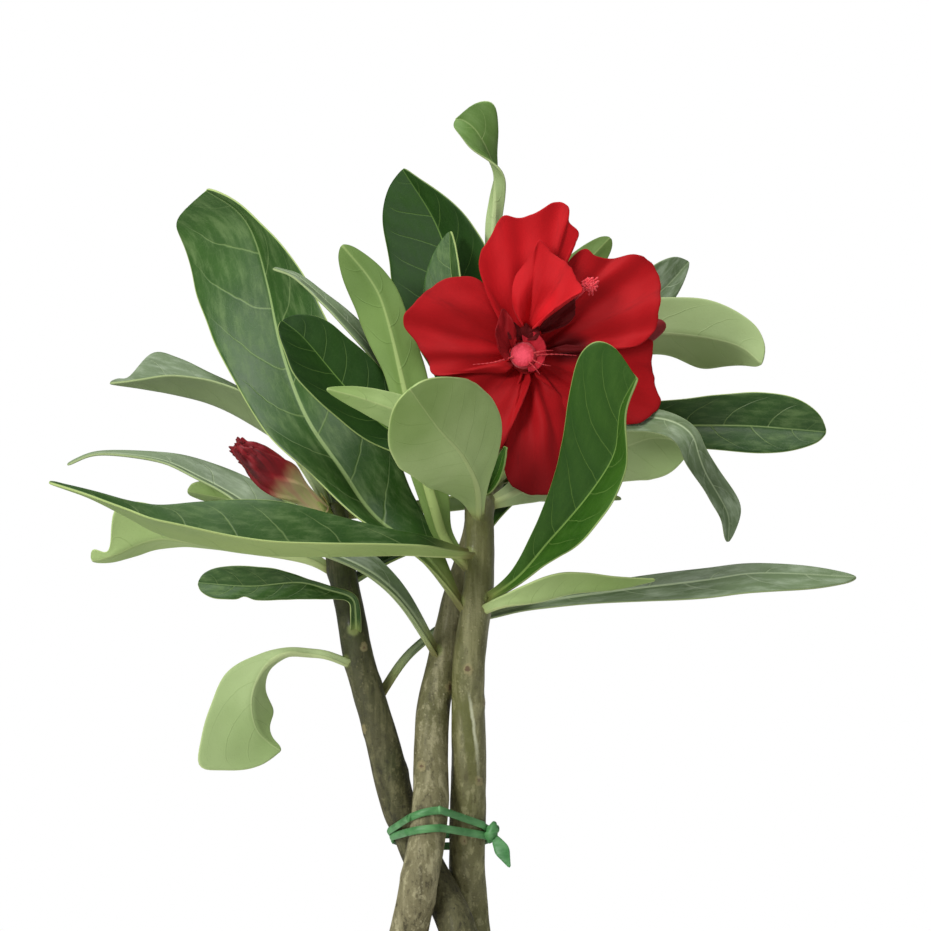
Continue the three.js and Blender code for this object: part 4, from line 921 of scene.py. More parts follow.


# bloom and its amount make pale streaks that are partly dust and partly painted sheen; the grey look's pale
# grey-green is partly painted sheen as well
leafLooks = {
    "dark": {"deep": (14, 42, 4), "mid": (32, 66, 10), "vein": (96, 128, 56), "bloom": (62, 92, 38),
             "underDeep": (84, 112, 50), "underPale": (120, 146, 78), "underVein": (168, 182, 112),
             "dusty": 0.1, "shine": 0.18, "rough": 0.42, "underRough": 0.5},
    "sheen": {"deep": (30, 64, 12), "mid": (52, 88, 26), "vein": (138, 162, 100), "bloom": (130, 154, 98),
              "underDeep": (116, 142, 74), "underPale": (160, 180, 108), "underVein": (182, 196, 126),
              "dusty": 0.3, "shine": 0.34, "rough": 0.34, "underRough": 0.5},
    "leafy": {"deep": (34, 72, 10), "mid": (58, 96, 24), "vein": (120, 152, 74), "bloom": (90, 124, 58),
              "underDeep": (86, 114, 48), "underPale": (120, 146, 76), "underVein": (166, 184, 112),
              "dusty": 0.12, "shine": 0.2, "rough": 0.42, "underRough": 0.55},
    "grey": {"deep": (74, 94, 58), "mid": (108, 128, 90), "vein": (160, 176, 138), "bloom": (164, 178, 154),
             "underDeep": (104, 124, 74), "underPale": (146, 164, 116), "underVein": (172, 186, 134),
             "dusty": 0.5, "shine": 0.4, "rough": 0.38, "underRough": 0.5},
    "fresh": {"deep": (56, 94, 28), "mid": (88, 126, 48), "vein": (146, 168, 98), "bloom": (116, 146, 84),
              "underDeep": (122, 150, 76), "underPale": (182, 202, 140), "underVein": (186, 200, 136),
              "dusty": 0.12, "shine": 0.25, "rough": 0.42, "underRough": 0.55},
    "pale": {"deep": (80, 112, 48), "mid": (110, 142, 72), "vein": (160, 180, 116), "bloom": (140, 166, 112),
             "underDeep": (136, 160, 98), "underPale": (180, 198, 144), "underVein": (194, 208, 150),
             "dusty": 0.2, "shine": 0.25, "rough": 0.42, "underRough": 0.55},
}
leafMaterials = {}
for tint, look in leafLooks.items():
    upper, under = leafUpper(tint + "LeafUpper", look), leafUnder(tint + "LeafUnder", look)
    leafMaterials[tint] = {"upper": upper, "under": under}
for node, leaf in leaves.items():
    leafPiece(node, leaf)
print("leaves unfolded:", len(leaves))


# the open flower

# Each petal fans out from the throat to its margin, whose points run from its left base to its right base.
flower = {
    "centre": (22, -5.5, 430.3), "ring": 4.4, "columns": 64, "rows": 30, "thickness": 0.45,
    "pleatDepth": 0.03, "crumple": 0.06, "ruffle": 1.8, "ragged": 0.012,
}
petals = {
    "petalUpperRight": {
        "bulge": 1.5, "pleats": 3.5, "phase": 0.4, "seed": 3,
        "margin": [(29, -9, 439.2), (30.4, -8, 447.8), (32.5, -7, 454.6), (37.4, -6, 459.3),
                   (41.1, -6.6, 457), (45.4, -5.4, 456.7), (50.8, -6.4, 457.8), (56.5, -5, 455.1),
                   (58.1, -6, 450), (58.1, -7.5, 445.1), (57, -7.5, 438.4), (55.1, -9, 435.4),
                   (51.3, -10, 432.5), (41.7, -10, 432.2), (32.5, -9.5, 433.1)],
    },
    "petalLowerRight": {
        "bulge": 0.5, "pleats": 2.5, "phase": 1.7, "seed": 5,
        "margin": [(35, -5, 434), (44.9, -5, 434), (54.6, -5, 435), (56.2, -5.6, 433.1),
                   (55.9, -4.4, 428.5), (56.7, -5.6, 422.3), (58.3, -5, 417.2), (55.6, -4.4, 414.5),
                   (52.9, -5.6, 412.3), (49.2, -5, 411.8), (43.8, -4.4, 411.8), (38, -5, 410.8),
                   (32, -4.6, 411.6), (27, -4.2, 415.5), (24.6, -4.4, 421)],
    },
    "petalBottom": {
        "bulge": 1.5, "pleats": 2.5, "phase": 0.9, "seed": 8,
        "margin": [(24.4, -7, 424.4), (30.9, -6.5, 419.3), (33.6, -6.4, 412.8), (32.5, -7.4, 404.7),
                   (31.4, -6.6, 396.7), (29, -7.4, 393.5), (24.2, -6.8, 392.7), (19.9, -7.6, 393.7),
                   (16.9, -7, 396.7), (15.3, -8, 402.6), (15.6, -7.5, 409.6), (18, -7.5, 417.7),
                   (20.5, -7.5, 424.1)],
    },
    "petalLowerLeft": {
        "bulge": 1, "pleats": 2.5, "phase": 2.4, "seed": 11,
        "margin": [(23.1, -9, 423.5), (20.7, -10.5, 417.1), (17.6, -10.8, 410.1), (15, -10.2, 404.9),
                   (12.1, -9.4, 404.9), (7.2, -9.4, 408.5), (2.7, -8.6, 413), (-0.3, -9, 418),
                   (-1.3, -8.6, 424.1), (6.7, -8.4, 427.2), (16.1, -8, 428.3)],
    },
    "petalLeft": {
        "bulge": 2.4, "pleats": 3.2, "phase": 0.2, "seed": 14,
        "margin": [(16.6, -9.5, 425.6), (7.8, -10.4, 425.4), (-3, -10.2, 424.6), (-4.4, -9.4, 428.3),
                   (-6.6, -10.4, 431.2), (-8.6, -9.6, 434.7), (-11.5, -9, 439.1), (-9.9, -9.8, 442.8),
                   (-5.6, -8.8, 446.9), (-0.5, -9.6, 450.4), (4.8, -8.8, 451.4), (9.4, -9, 450.4),
                   (12.6, -8.5, 446.1), (14.8, -8.5, 440.1), (18, -8, 434.7)],
    },
    "petalTop": {
        "bulge": 1.8, "pleats": 2.6, "phase": 1.1, "seed": 17,
        "margin": [(15.5, -9.5, 437.2), (11, -11, 447.2), (8.9, -11.4, 455.3), (11.5, -10.4, 461.2),
                   (15.6, -11.2, 467.5), (20.2, -9.8, 467.5), (25.8, -10.8, 469.3), (30.9, -9.4, 471.8),
                   (33.6, -10.2, 469.3), (33.1, -9, 466.1), (36.3, -8.6, 463.1), (33.3, -9.6, 458.5),
                   (32, -9, 453.7), (29.8, -10, 445.1), (26.9, -9.5, 437)],
    },
}
# tint: which petal red an inner petal takes; bright is painted light, deep and dark are painted shade
innerPetals = {
    "petalHood": {
        "from": (22, -11, 436), "ring": 1.6, "tint": "bright",
        "bulge": 2.6, "pleats": 1.2, "phase": 0.6, "seed": 21,
        "margin": [(20.4, -12.5, 438.6), (18.4, -13.6, 442.4), (17.9, -14.4, 446.2), (18.6, -15, 450.4),
                   (21.2, -15, 454.2), (23.6, -14.6, 457.2), (25.3, -14, 460.9), (28.4, -15.4, 457.4),
                   (32.4, -16.6, 454.8), (35, -18.2, 450.6), (36.9, -19.8, 446.8), (34.4, -20.8, 445.2),
                   (31.2, -21, 443.2), (28, -20, 440.6), (25.2, -16, 437.6)],
    },
    # painted shade: a dark red sheet behind the hood's lower edge, standing for the shade of the hood's fold
    "petalLining": {
        "from": (24.5, -10.5, 435.5), "ring": 1.5, "tint": "dark",
        "bulge": 0.6, "pleats": 1.5, "phase": 0.1, "seed": 23,
        "margin": [(27, -15, 440), (30.5, -16, 443.6), (34, -15.6, 445.6), (35, -14.8, 442),
                   (33.6, -14, 438.8), (30, -13.4, 437), (26.6, -12, 436)],
    },
    # the curved petal takes a shaded copy of the red, painted shade
    "petalCurved": {
        "from": (18, -10.5, 431), "ring": 1, "tint": "deep",
        "bulge": 0.8, "pleats": 1.5, "phase": 0.9, "seed": 26,
        "margin": [(16.4, -12.6, 428.6), (14.6, -13.6, 431), (13.6, -14.2, 435.4), (14.2, -14.2, 439.4),
                   (15.6, -14, 442.4), (17.6, -14.2, 439.8), (18.9, -14, 437), (19, -13, 433.6)],
    },
    # painted shade: a dark red ragged sheet standing for the shaded cavity under the hood
    "petalRaggedShade": {
        "from": (21, -10.4, 434), "ring": 0.5, "tint": "dark",
        "bulge": 0.8, "pleats": 4, "phase": 0.3, "seed": 33,
        "margin": [(17.2, -12.6, 434.2), (16.9, -13, 436.6), (18.4, -13.4, 438.7), (20.2, -12.8, 437.3),
                   (21.8, -13.4, 438.5), (23.4, -12.8, 436.8), (24.9, -13, 437.8), (25.4, -12.6, 435.4),
                   (24.4, -12.2, 434)],
    },
    "petalSmall": {
        "from": (21.4, -9.6, 430.3), "ring": 1.2, "tint": "pink",
        "bulge": 0.3, "pleats": 3, "phase": 0.5, "seed": 29,
        "margin": [(20.6, -12, 435.4), (23.2, -12.4, 436.4), (25.6, -12.6, 435), (27, -12.6, 432.4),
                   (26.9, -12.4, 429.2), (25.2, -12.2, 426.6), (22.4, -12, 425.4)],
    },
}


def petalPiece(name, petal, centre, ring):
    margin = Route(petal["margin"], 16)
    middle, seed = Vector(centre), petal["seed"]

    def place(s, share):
        across = (s + 1) / 2
        edge = margin.at(across)
        out = edge - middle
        out.y = 0
        out.normalize()
        start = middle + out * ring
        span = (edge - start).length
        jag = noise.noise(Vector((across * 18, seed, 0.3))) + noise.noise(Vector((across * 50, seed, 4)))
        edge = edge + out * (jag * flower["ragged"] * span + jag * 0.25)
        t = share ** 0.9
        point = start.lerp(edge, t)
        crease = math.sin(petal["pleats"] * 2 * math.pi * across + petal["phase"] + 1.2 * t)
        fine = noise.noise(Vector((across * 6, t * 2.5, seed))) * flower["crumple"] * span
        ruffle = noise.noise(Vector((across * 7, seed * 1.7, 1))) * flower["ruffle"] * t ** 4
        pleat = flower["pleatDepth"] * span * crease * math.sin(math.pi * t ** 0.7)
        lift = petal["bulge"] * math.sin(math.pi * t ** 0.8) + pleat
        point.y -= lift + fine * math.sin(math.pi * t) + ruffle
        return point

    piece = sheet(name, flower["columns"], flower["rows"], place)
    modify(piece, "SOLIDIFY", thickness=flower["thickness"] * mm, offset=0, use_even_offset=False)
    smoother(piece)
    return piece


def petalMaterial(name, base, bright, streakAndShade):
    paint = Paint(name, Sheen_Weight=0.04, Sheen_Roughness=0.4, Specular_IOR_Level=0.12)
    place = paint.place()
    x, y, z = paint.parts(place)
    s, t = paint.map("UVMap")
    streak = paint.grain(paint.vector(s * 13, t * 1.3), 1.0, 4, 0.6)
    cloud = paint.grain(place, 42, 3).rise(0.32, 0.68)
    fine = paint.grain(place, 1500, 2)
    skin = paint.blend(base, bright, cloud * 0.6 + streak.rise(0.45, 0.7) * 0.2)
    skin = paint.blend(skin, streakAndShade, streak.rise(0.3, 0.45, 0.3, 0.0) + t.rise(0.93, 1.0) * 0.15)
    # painted shade: a near-black red in the hollow beside the throat, and the darkest red laid over the
    # lower ends of the lowest petals
    across = (x - 0.0335) * 0.62
    rise = z - 0.4322
    fromShadedHollow = (across * across + rise * rise) ** 0.5
    skin = paint.blend(skin, (74, 6, 10), fromShadedHollow.rise(0.0016, 0.0052, 0.85, 0.0) * y.rise(-0.0125, -0.0105))
    skin = paint.blend(skin, streakAndShade, z.rise(0.392, 0.422, 0.65, 0.0))
    height = streak * 0.5 + fine * 0.3
    return paint.done(skin, fine * 0.1 + 0.6, paint.bump(height, 0.0003, 0.35))


# painted light and shade: bright is a lighter, lit copy of the petal red, and deep and dark are darker,
# shaded copies; the top petal and the hood take the lit copy
petalTints = {
    "red": petalMaterial("petalRed", (147, 10, 16), (176, 16, 23), (96, 6, 11)),
    "bright": petalMaterial("petalLitRed", (172, 14, 21), (198, 22, 30), (114, 7, 13)),
    "deep": petalMaterial("petalShadedRed", (120, 10, 16), (150, 15, 22), (74, 6, 10)),
    "dark": petalMaterial("petalDeepShadeRed", (72, 8, 11), (98, 11, 15), (44, 5, 8)),
    "pink": petalMaterial("petalPink", (164, 20, 32), (190, 42, 56), (124, 12, 20)),
}
for name, petal in petals.items():
    piece = petalPiece(name, petal, flower["centre"], flower["ring"])
    finished(piece, ["flower_petals"], petalTints["bright" if name == "petalTop" else "red"])
for name, petal in innerPetals.items():
    piece = petalPiece(name, petal, petal["from"], petal["ring"])
    finished(piece, ["flower_inner_petals"], petalTints[petal["tint"]])

# the petals' tube: its outer skin, and the skin of the throat inside it
corolla = {
    "path": [(17.2, 3.2, 416), (18.3, 2.6, 421), (20, -0.5, 427), (21.4, -4, 430.2), (22, -6.4, 430.4)],
    "radius": [2, 2.3, 3, 4.1, 5.2], "turn": 0.6,  # the share of the rings that the outer skin takes
}
throat = {"path": [(22, -7.4, 430.3), (22, -5, 430.3), (21.6, -2.4, 430)], "radius": [4.9, 3.6, 1.6]}


def flowerTube():
    # the outer skin runs forward to the mouth, and the inner skin goes back down the throat
    outer, inner = Route(corolla["path"]), Route(throat["path"])
    turn = corolla["turn"]

    def place(angle, share):
        back = share > turn
        route, radii = (inner, throat["radius"]) if back else (outer, corolla["radius"])
        u = (share - turn) / (1 - turn) if back else share / turn
        across, upward = crossAxes(-route.ahead(u) if back else route.ahead(u))
        r = 0 if share in (0, 1) else along(radii, u) * (1 + 0.05 * math.cos(5 * angle))
        return route.at(u) + across * (r * math.cos(angle)) + upward * (r * math.sin(angle))

    return rolled("flowerTube", 40, 30, place)


def tubeMaterial():
    paint = Paint("flowerTubeSkin", Specular_IOR_Level=0.3)
    place = paint.place()
    y = paint.parts(place)[1]
    streak = paint.grain(paint.scaled(place, (1, 1, 0.2)), 300, 3)
    skin = paint.blend((178, 160, 84), (176, 34, 42), y.rise(-0.001, 0.003, 1.0, 0.0) * 0.9)
    skin = paint.blend(skin, (182, 26, 40), y.rise(-0.0072, -0.004, 0.85, 0.0))
    return paint.done(skin, streak * 0.15 + 0.5, paint.bump(streak, 0.0003, 0.4))


finished(flowerTube(), ["flower_petals"], tubeMaterial())

cone = {
    "path": [(21.8, -6.5, 430.2), (21.2, -9.6, 430.1), (20.7, -12.4, 430)],
    "radius": [2.8, 3.3, 3.6, 3.6, 3],
}


def pinkMaterial(name, base, bright, stalk):
    # lighter towards the middle of the throat; the tuft's stalk takes the petals' red
    paint = Paint(name, Sheen_Weight=0.2, Specular_IOR_Level=0.2)
    place = paint.place()
    x, _, z = paint.parts(place)
    fuzz = paint.grain(place, 1400, 3)
    across = x - 0.0207
    rise = z - 0.43
    core = ((across * across + rise * rise) ** 0.5).rise(0.0006, 0.0034, 0.9, 0.0)
    skin = paint.blend(base, bright, (core + fuzz.rise(0.4, 0.65) * 0.35).least(1))
    skin = paint.blend(skin, (110, 10, 16), x.rise(0.0345, 0.037, stalk, 0.0))
    return paint.done(skin, fuzz * 0.2 + 0.5, paint.bump(fuzz, 0.0003, 0.4))


finished(tube("stamenCone", Route(cone["path"]), 48, 30, lambda angle, share: along(cone["radius"], share)),
         ["flower_stamens"], pinkMaterial("stamenPink", (182, 24, 42), (238, 78, 98), 0.0))

# feathery tips of the anthers, which lie on the petals by the throat
antherTips = {
    "centre": (20.7, -12, 430), "start": 2.4, "thick": (0.24, 0.06),
    "ends": [(7.4, -12.6, 427.4), (35.4, -11.8, 429.9), (29, -13, 431.2), (28.4, -13, 427),
             (25.4, -13, 424.8)],
}


def antherPiece():
    made = []
    centre = Vector(antherTips["centre"])

    def thickness(angle, share):
        # thinner towards the tip, with small knots
        return mix(*antherTips["thick"], share) * (1 + 0.5 * math.sin(share * 60))

    for k, end in enumerate(antherTips["ends"]):
        out = (Vector(end) - centre).normalized()
        start = centre + out * antherTips["start"]
        middle = start.lerp(Vector(end), 0.5) + Vector((0, -0.4, -0.5 * math.cos(k * 2.1)))
        made.append(tube("filament", Route([start, middle, end]), 8, 30, thickness))
    return join(made, "antherTips")


finished(antherPiece(), ["flower_stamens"],
         pinkMaterial("antherTipPink", (196, 46, 56), (220, 96, 92), 0.0))

tuft = {
    "stalk": [(27.6, -11.4, 437), (33, -11.4, 443), (38.8, -13.6, 448.7)], "stalkRadius": 0.28,
    "radius": 2.9, "forward": 1.6, "lobes": 80, "lobeRadius": (0.12, 0.3),
}


def tuftPiece():
    end = Vector(tuft["stalk"][-1])
    made = [tube("tuftStalk", Route(tuft["stalk"]), 10, 16, lambda angle, share: tuft["stalkRadius"])]
    for k in range(tuft["lobes"]):
        angle = k * 2.4
        near = math.sqrt((k + 0.5) / tuft["lobes"])
        reach = tuft["radius"] * near * random.uniform(0.7, 1.15)
        forward = tuft["forward"] * math.sqrt(1.05 - near * near)
        tip = end + Vector((reach * math.cos(angle), -forward, reach * math.sin(angle)))
        middle = end.lerp(tip, 0.5) + Vector((0, -0.3, 0))
        made.append(tube("tuftLobe", Route([end, middle, tip]), 8, 8,
                         lambda turn, share: mix(*tuft["lobeRadius"], share)))
    return join(made, "antherTuft")


finished(tuftPiece(), ["flower_tuft"],
         pinkMaterial("tuftCoral", (224, 56, 68), (250, 112, 120), 0.9))
print("flower opened")


# calyxes and buds

calyxes = {
    "flower_calyx": {"base": (15.9, 3.5, 412.6), "top": (17, 3.2, 415.4),
                     "radius": 2, "length": 5.4, "width": 2.2},
    "bud_left_calyx": {"base": (-30.8, 0, 386.6), "top": (-33.4, -1.4, 388.9),
                       "radius": 1.9, "length": 5, "width": 2},
}
budLeft = {
    "path": [(-32.4, -1.6, 388.4), (-38.4, -4.8, 392.8), (-45.8, -9, 398.3), (-51.1, -12.4, 402.5),
             (-56, -14, 405.8)],
    "radius": [1.9, 3, 5, 4.3, 1.9], "folds": 5, "twist": 2.42, "lap": 0.24, "frays": 26,
    "ragged": 0.24,  # the share of its length that the frays stand on
}
budBack = {
    "path": [(15.2, 3.6, 408.8), (22, 5.6, 412.6), (34, 9, 422.6), (46, 13, 431), (52, 14, 436),
             (56.5, 14.5, 439), (60.3, 15, 440.6)],
    "radius": [1.2, 1.2, 1.2, 1.5, 3, 3.1, 2.6],
}


def calyxPiece(node, cup):
    base, top = Vector(cup["base"]), Vector(cup["top"])
    ahead = (top - base).normalized()
    across, upward = crossAxes(ahead)
    made = [tube("cup", Route([base, base.lerp(top, 0.5), top]), 24, 12,
                 lambda angle, share: cup["radius"] * (0.9 + 0.15 * share))]
    for k in range(5):
        angle = 2 * math.pi * k / 5
        out = across * math.cos(angle) + upward * math.sin(angle)
        side = ahead.cross(out)
        root = base.lerp(top, 0.5) + out * (cup["radius"] - 0.1)
        half, end = ahead * cup["length"] * 0.5, ahead * cup["length"] * 1.05
        route = Route([root, root + half + out * 0.9, root + end + out * 1.5])

        def place(s, share):
            wide = cup["width"] / 2 * (1.1 - share) ** 0.6 * (0.8 + 0.6 * share) if share < 1 else 0.05
            return route.at(share) + side * (s * wide) + out * (0.25 * (1 - s * s))

        sepal = sheet("sepal", 8, 12, place)
        modify(sepal, "SOLIDIFY", thickness=0.5 * mm, offset=-1)
        smoother(sepal)
        made.append(sepal)
    return join(made, camel(node))


def calyxMaterial():
    paint = Paint("calyxGreen")
    place = paint.place()
    streak = paint.grain(paint.scaled(place, (1, 1, 0.3)), 500, 3)
    skin = paint.blend((128, 146, 70), (176, 182, 108), streak.rise(0.35, 0.65))
    skin = paint.blend(skin, (150, 70, 52), paint.grain(place, 220).rise(0.55, 0.75) * 0.4)
    return paint.done(skin, streak * 0.15 + 0.5, paint.bump(streak, 0.0003, 0.5))


calyxGreen = calyxMaterial()
for node, cup in calyxes.items():
    finished(calyxPiece(node, cup), [node], calyxGreen)


def twistedBud():
    route = Route(budLeft["path"])

    def radius(angle, share):
        turn = (budLeft["folds"] * (angle + budLeft["twist"] * share) / (2 * math.pi)) % 1
        # each petal laps over the next
        lap = ease(0.2, 0.45, share) * budLeft["lap"] * (turn - ease(0.72, 1, turn) - 0.3)
        spot = Vector((math.cos(angle) * 2.2, share * 12, math.sin(angle) * 2.2))
        frayed = ease(0.7, 1, share) * 0.5 * noise.noise(spot)
        return along(budLeft["radius"], share) * (1 + lap + frayed)

    made = [tube("budBody", route, 120, 110, radius)]
    ahead = route.ahead(1, 0.04)
    across, upward = crossAxes(ahead)
    for k in range(budLeft["frays"]):
        # the torn petal ends stand out round the tip and down one side
        angle = k * 2.4
        out = across * math.cos(angle) + upward * math.sin(angle)
        u = 1 - budLeft["ragged"] * (k / budLeft["frays"])
        root = route.at(u) + out * (along(budLeft["radius"], u) * 0.8)
        tip = root + ahead * random.uniform(0.8, 2) + out * random.uniform(0.2, 0.6)
        made.append(tube("fray", Route([root, root.lerp(tip, 0.5), tip]), 6, 8,
                         lambda turn, share: mix(0.5, 0.1, share) * (1 + 0.5 * math.cos(2 * turn))))
    return join(made, "budLeft")


def budMaterial():
    paint = Paint("budRed", Specular_IOR_Level=0.3)
    place = paint.place()
    x, _, z = paint.parts(place)
    far = ((x + 0.034) * -0.72 + (z - 0.3895) * 0.62)  # distance from the bud's base along it
    streak = paint.grain(paint.scaled(place, (0.6, 1, 0.6)), 420, 3, 0.6)
    s, t = paint.map("UVMap")
    laps = paint.grain(paint.vector(s * 9 + t * 2.2, t * 1.1), 1.0, 3, 0.55)
    skin = paint.blend((192, 186, 126), (208, 182, 142), laps.rise(0.4, 0.6))
    skin = paint.blend(skin, (176, 84, 76), laps.rise(0.5, 0.7) * 0.55 + far.rise(0.006, 0.012, 0.0, 0.35))
    skin = paint.blend(skin, (128, 16, 26), (far + laps * 0.006).rise(0.0105, 0.0165))
    skin = paint.blend(skin, (66, 7, 13), laps.rise(0.46, 0.6) * far.rise(0.011, 0.019) * 0.9)
    skin = paint.blend(skin, (164, 30, 42), laps.rise(0.3, 0.44, 1.0, 0.0) * far.rise(0.011, 0.019) * 0.6)
    skin = paint.blend(skin, (30, 34, 22), (far + streak * 0.006).rise(0.029, 0.0325) * 0.9)
    return paint.done(skin, streak * 0.2 + 0.45, paint.bump(laps * 0.6 + streak * 0.4, 0.0006, 0.5))


finished(twistedBud(), ["bud_left"], budMaterial())


def backBudRadius(angle, share):
    rounded = math.sqrt(max(0.03, 1 - (max(0, share - 0.91) / 0.09) ** 2))
    return along(budBack["radius"], share) * rounded * (1 + 0.05 * math.cos(5 * angle + 9 * share))


def backBudMaterial():
    paint = Paint("backBudRed", Specular_IOR_Level=0.3)
    place = paint.place()
    x = paint.parts(place)[0]
    streak = paint.grain(place, 400, 3)
    skin = paint.blend((150, 150, 84), (126, 13, 21), (x + streak * 0.004).rise(0.038, 0.046))
    skin = paint.blend(skin, (74, 8, 14), streak.rise(0.5, 0.7) * 0.6)
    return paint.done(skin, streak * 0.2 + 0.45, paint.bump(streak, 0.0003, 0.5))


finished(tube("budBack", Route(budBack["path"]), 32, 90, backBudRadius), ["bud_back"],
         backBudMaterial())
print("buds set")


# plant tie

tie = {
    "loops": [{"front": 308.2, "back": 301, "side": 302.2}, {"front": 303.5, "back": 297.5, "side": 300.5}],
    "directions": 90, "rings": 260, "gap": 0.35, "halfThickness": 0.55, "halfHeight": 1.05,
    "middle": -1.4, "reach": 14,  # where a loop arches up in front, and how far to each side
    "knot": (12.6, 1.2, 302.2), "tail": [(13.2, 0.6, 301), (15.2, -1.5, 297.6), (17.4, -2.6, 292.8)],
    "tailWidths": [0.9, 1.6, 2, 1.2, 0.3],
}


def tieLoop(level):
    ring = []
    for k in range(tie["directions"]):
        angle = 2 * math.pi * k / tie["directions"]
        out = Vector((math.cos(angle), math.sin(angle), 0))
        z = level["side"]
        for _ in range(3):
            reach = []
            for name in stems:
                centre = stemCentre(name, z)
                reach.append((centre.dot(out) + stemRadius(name, z), centre, stemRadius(name, z)))
            _, centre, r = max(reach, key=lambda entry: entry[0])
            point = centre + out * (r + tie["gap"] + tie["halfThickness"])
            arch = max(0, 1 - ((point.x - tie["middle"]) / tie["reach"]) ** 2)
            z = mix(level["side"], level["front"] if out.y < 0 else level["back"], arch)
        ring.append((Vector((point.x, point.y, z)), out))
    route = Route([point for point, _ in ring] + [ring[0][0], ring[1][0]], 4)

    def place(angle, share):
        around = share * len(ring) / (len(ring) + 1) if share < 1 else 0
        centre = route.at(around)
        ahead = route.ahead(around if share < 1 else 0.004, 0.006)
        out = ahead.cross(Vector((0, 0, 1))).normalized()
        if out.dot(centre - Vector((2, 0, centre.z))) < 0:
            out.negate()
        wing = 0.55 + 0.45 * abs(math.cos(angle)) ** 3  # a round core with thin wings above and below
        rise = Vector((0, 0, tie["halfHeight"] * math.sin(angle)))
        return centre + out * (tie["halfThickness"] * math.cos(angle) * wing) + rise

    return rolled("tieLoop", 20, tie["rings"], place)


def tiePiece():
    made = [tieLoop(level) for level in tie["loops"]]
    knot = Vector(tie["knot"])
    for turn in (0, 1.1, 2.2):
        points = []
        for step in range(13):
            angle = 2 * math.pi * step / 12
            side = 1.3 * math.cos(angle) * math.cos(turn)
            rise = 2 * math.cos(angle) * math.sin(turn + 0.5)
            points.append(knot + Vector((side, 1.5 * math.sin(angle), rise)))
        made.append(tube("knotTurn", Route(points, 8), 12, 60,
                         lambda angle, share: 0.95 + 0.15 * math.cos(2 * angle)))
    tail = Route(tie["tail"])

    def place(angle, share):
        ahead = tail.ahead(share)
        across, upward = crossAxes(ahead)
        twist = angle + 0.9 * share
        wide = along(tie["tailWidths"], share) if 0 < share < 1 else 0
        flat = 0.45 * min(1, wide)
        return tail.at(share) + across * (wide * math.cos(twist)) + upward * (flat * math.sin(twist))

    made.append(rolled("tieTail", 20, 30, place))
    return join(made, "plantTie")


def tieMaterial():
    paint = Paint("tieGreen")
    place = paint.place()
    cloud = paint.grain(place, 220, 3)
    ribs = paint.grain(paint.scaled(place, (0.2, 0.2, 1)), 1600, 2) - 0.5
    skin = paint.blend((58, 118, 62), (98, 158, 98), cloud.rise(0.3, 0.7) * 0.7 + ribs.rise(-0.2, 0.2) * 0.3)
    return paint.done(skin, cloud * 0.2 + 0.35, paint.bump(ribs, 0.0004, 0.5))


finished(tiePiece(), ["plant_tie"], tieMaterial(), 50)
print("tie wound")


# pot and soil

pot = {
    "height": 120, "foot": 51, "footRound": 1.5, "wall": 69.5, "rim": 76, "rimHeight": 23,
    "innerFoot": 46, "innerMouth": 70, "floor": 6, "holes": 4, "holeRing": 26, "hole": 5, "sides": 128,
}
soil = {"level": 107, "mound": 5, "relief": 1.1, "clear": 7.5}  # clear: no grain nearer to a stem's centre


def potPiece():
    foot, wall, rim, top = pot["foot"], pot["wall"], pot["rim"], pot["height"]
    band = top - pot["rimHeight"]
    mouth, innerFoot, floor = pot["innerMouth"], pot["innerFoot"], pot["floor"]
    # radius and height, from the underside up the outside, over the rim and down to the floor
    profile = [(foot - pot["footRound"], 0), (foot, pot["footRound"]), (mix(foot, wall, 0.5), band / 2),
               (wall, band - 1), (rim - 1, band), (rim, band + 2), (rim, top - 3), (rim - 1.5, top - 0.5),
               (rim - 3, top), (mouth + 1, top - 0.5), (mouth, top - 3),
               (mix(mouth, innerFoot, 0.5), (top - 3 + floor + 2) / 2),
               (innerFoot, floor + 2), (innerFoot - 2, floor)]
    bpy.ops.mesh.primitive_circle_add(vertices=pot["sides"], radius=profile[0][0] * mm, fill_type="NGON")
    piece = bpy.context.object
    bpy.ops.object.mode_set(mode="EDIT")
    bpy.ops.mesh.select_all(action="SELECT")
    bpy.ops.mesh.flip_normals()
    for (r0, z0), (r1, z1) in zip(profile, profile[1:]):
        bpy.ops.mesh.extrude_region_move(TRANSFORM_OT_translate={"value": (0, 0, (z1 - z0) * mm)})
        bpy.ops.transform.resize(value=(r1 / r0, r1 / r0, 1), center_override=(0, 0, z1 * mm))
    bpy.ops.mesh.select_all(action="SELECT")
    bpy.ops.mesh.normals_make_consistent(inside=False)
    bpy.ops.object.mode_set(mode="OBJECT")
    return piece


def clayBody():
    # the extrusion leaves the first disc where it started as the last one, so the foot's disc is added again
    piece = potPiece()
    footRadius = (pot["foot"] - pot["footRound"]) * mm
    bpy.ops.mesh.primitive_circle_add(vertices=pot["sides"], radius=footRadius, fill_type="NGON")
    foot = bpy.context.object
    piece = join([piece, foot], "clayPot")
    bpy.ops.object.mode_set(mode="EDIT")
    bpy.ops.mesh.select_all(action="SELECT")
    bpy.ops.mesh.remove_doubles(threshold=0.00001)
    bpy.ops.mesh.normals_make_consistent(inside=False)
    bpy.ops.object.mode_set(mode="OBJECT")
    for k in range(pot["holes"]):
        angle = math.pi / 4 + 2 * math.pi * k / pot["holes"]
        spot = (pot["holeRing"] * math.cos(angle) * mm, pot["holeRing"] * math.sin(angle) * mm, 0)
        bpy.ops.mesh.primitive_cylinder_add(vertices=40, radius=pot["hole"] * mm,
                                            depth=pot["floor"] * 4 * mm, location=spot)
        drill = bpy.context.object
        modify(piece, "BOOLEAN", operation="DIFFERENCE", object=drill, solver="EXACT")
        bpy.data.objects.remove(drill)
    modify(piece, "BEVEL", width=0.8 * mm, segments=3, limit_method="ANGLE", angle_limit=math.radians(25))
    return piece


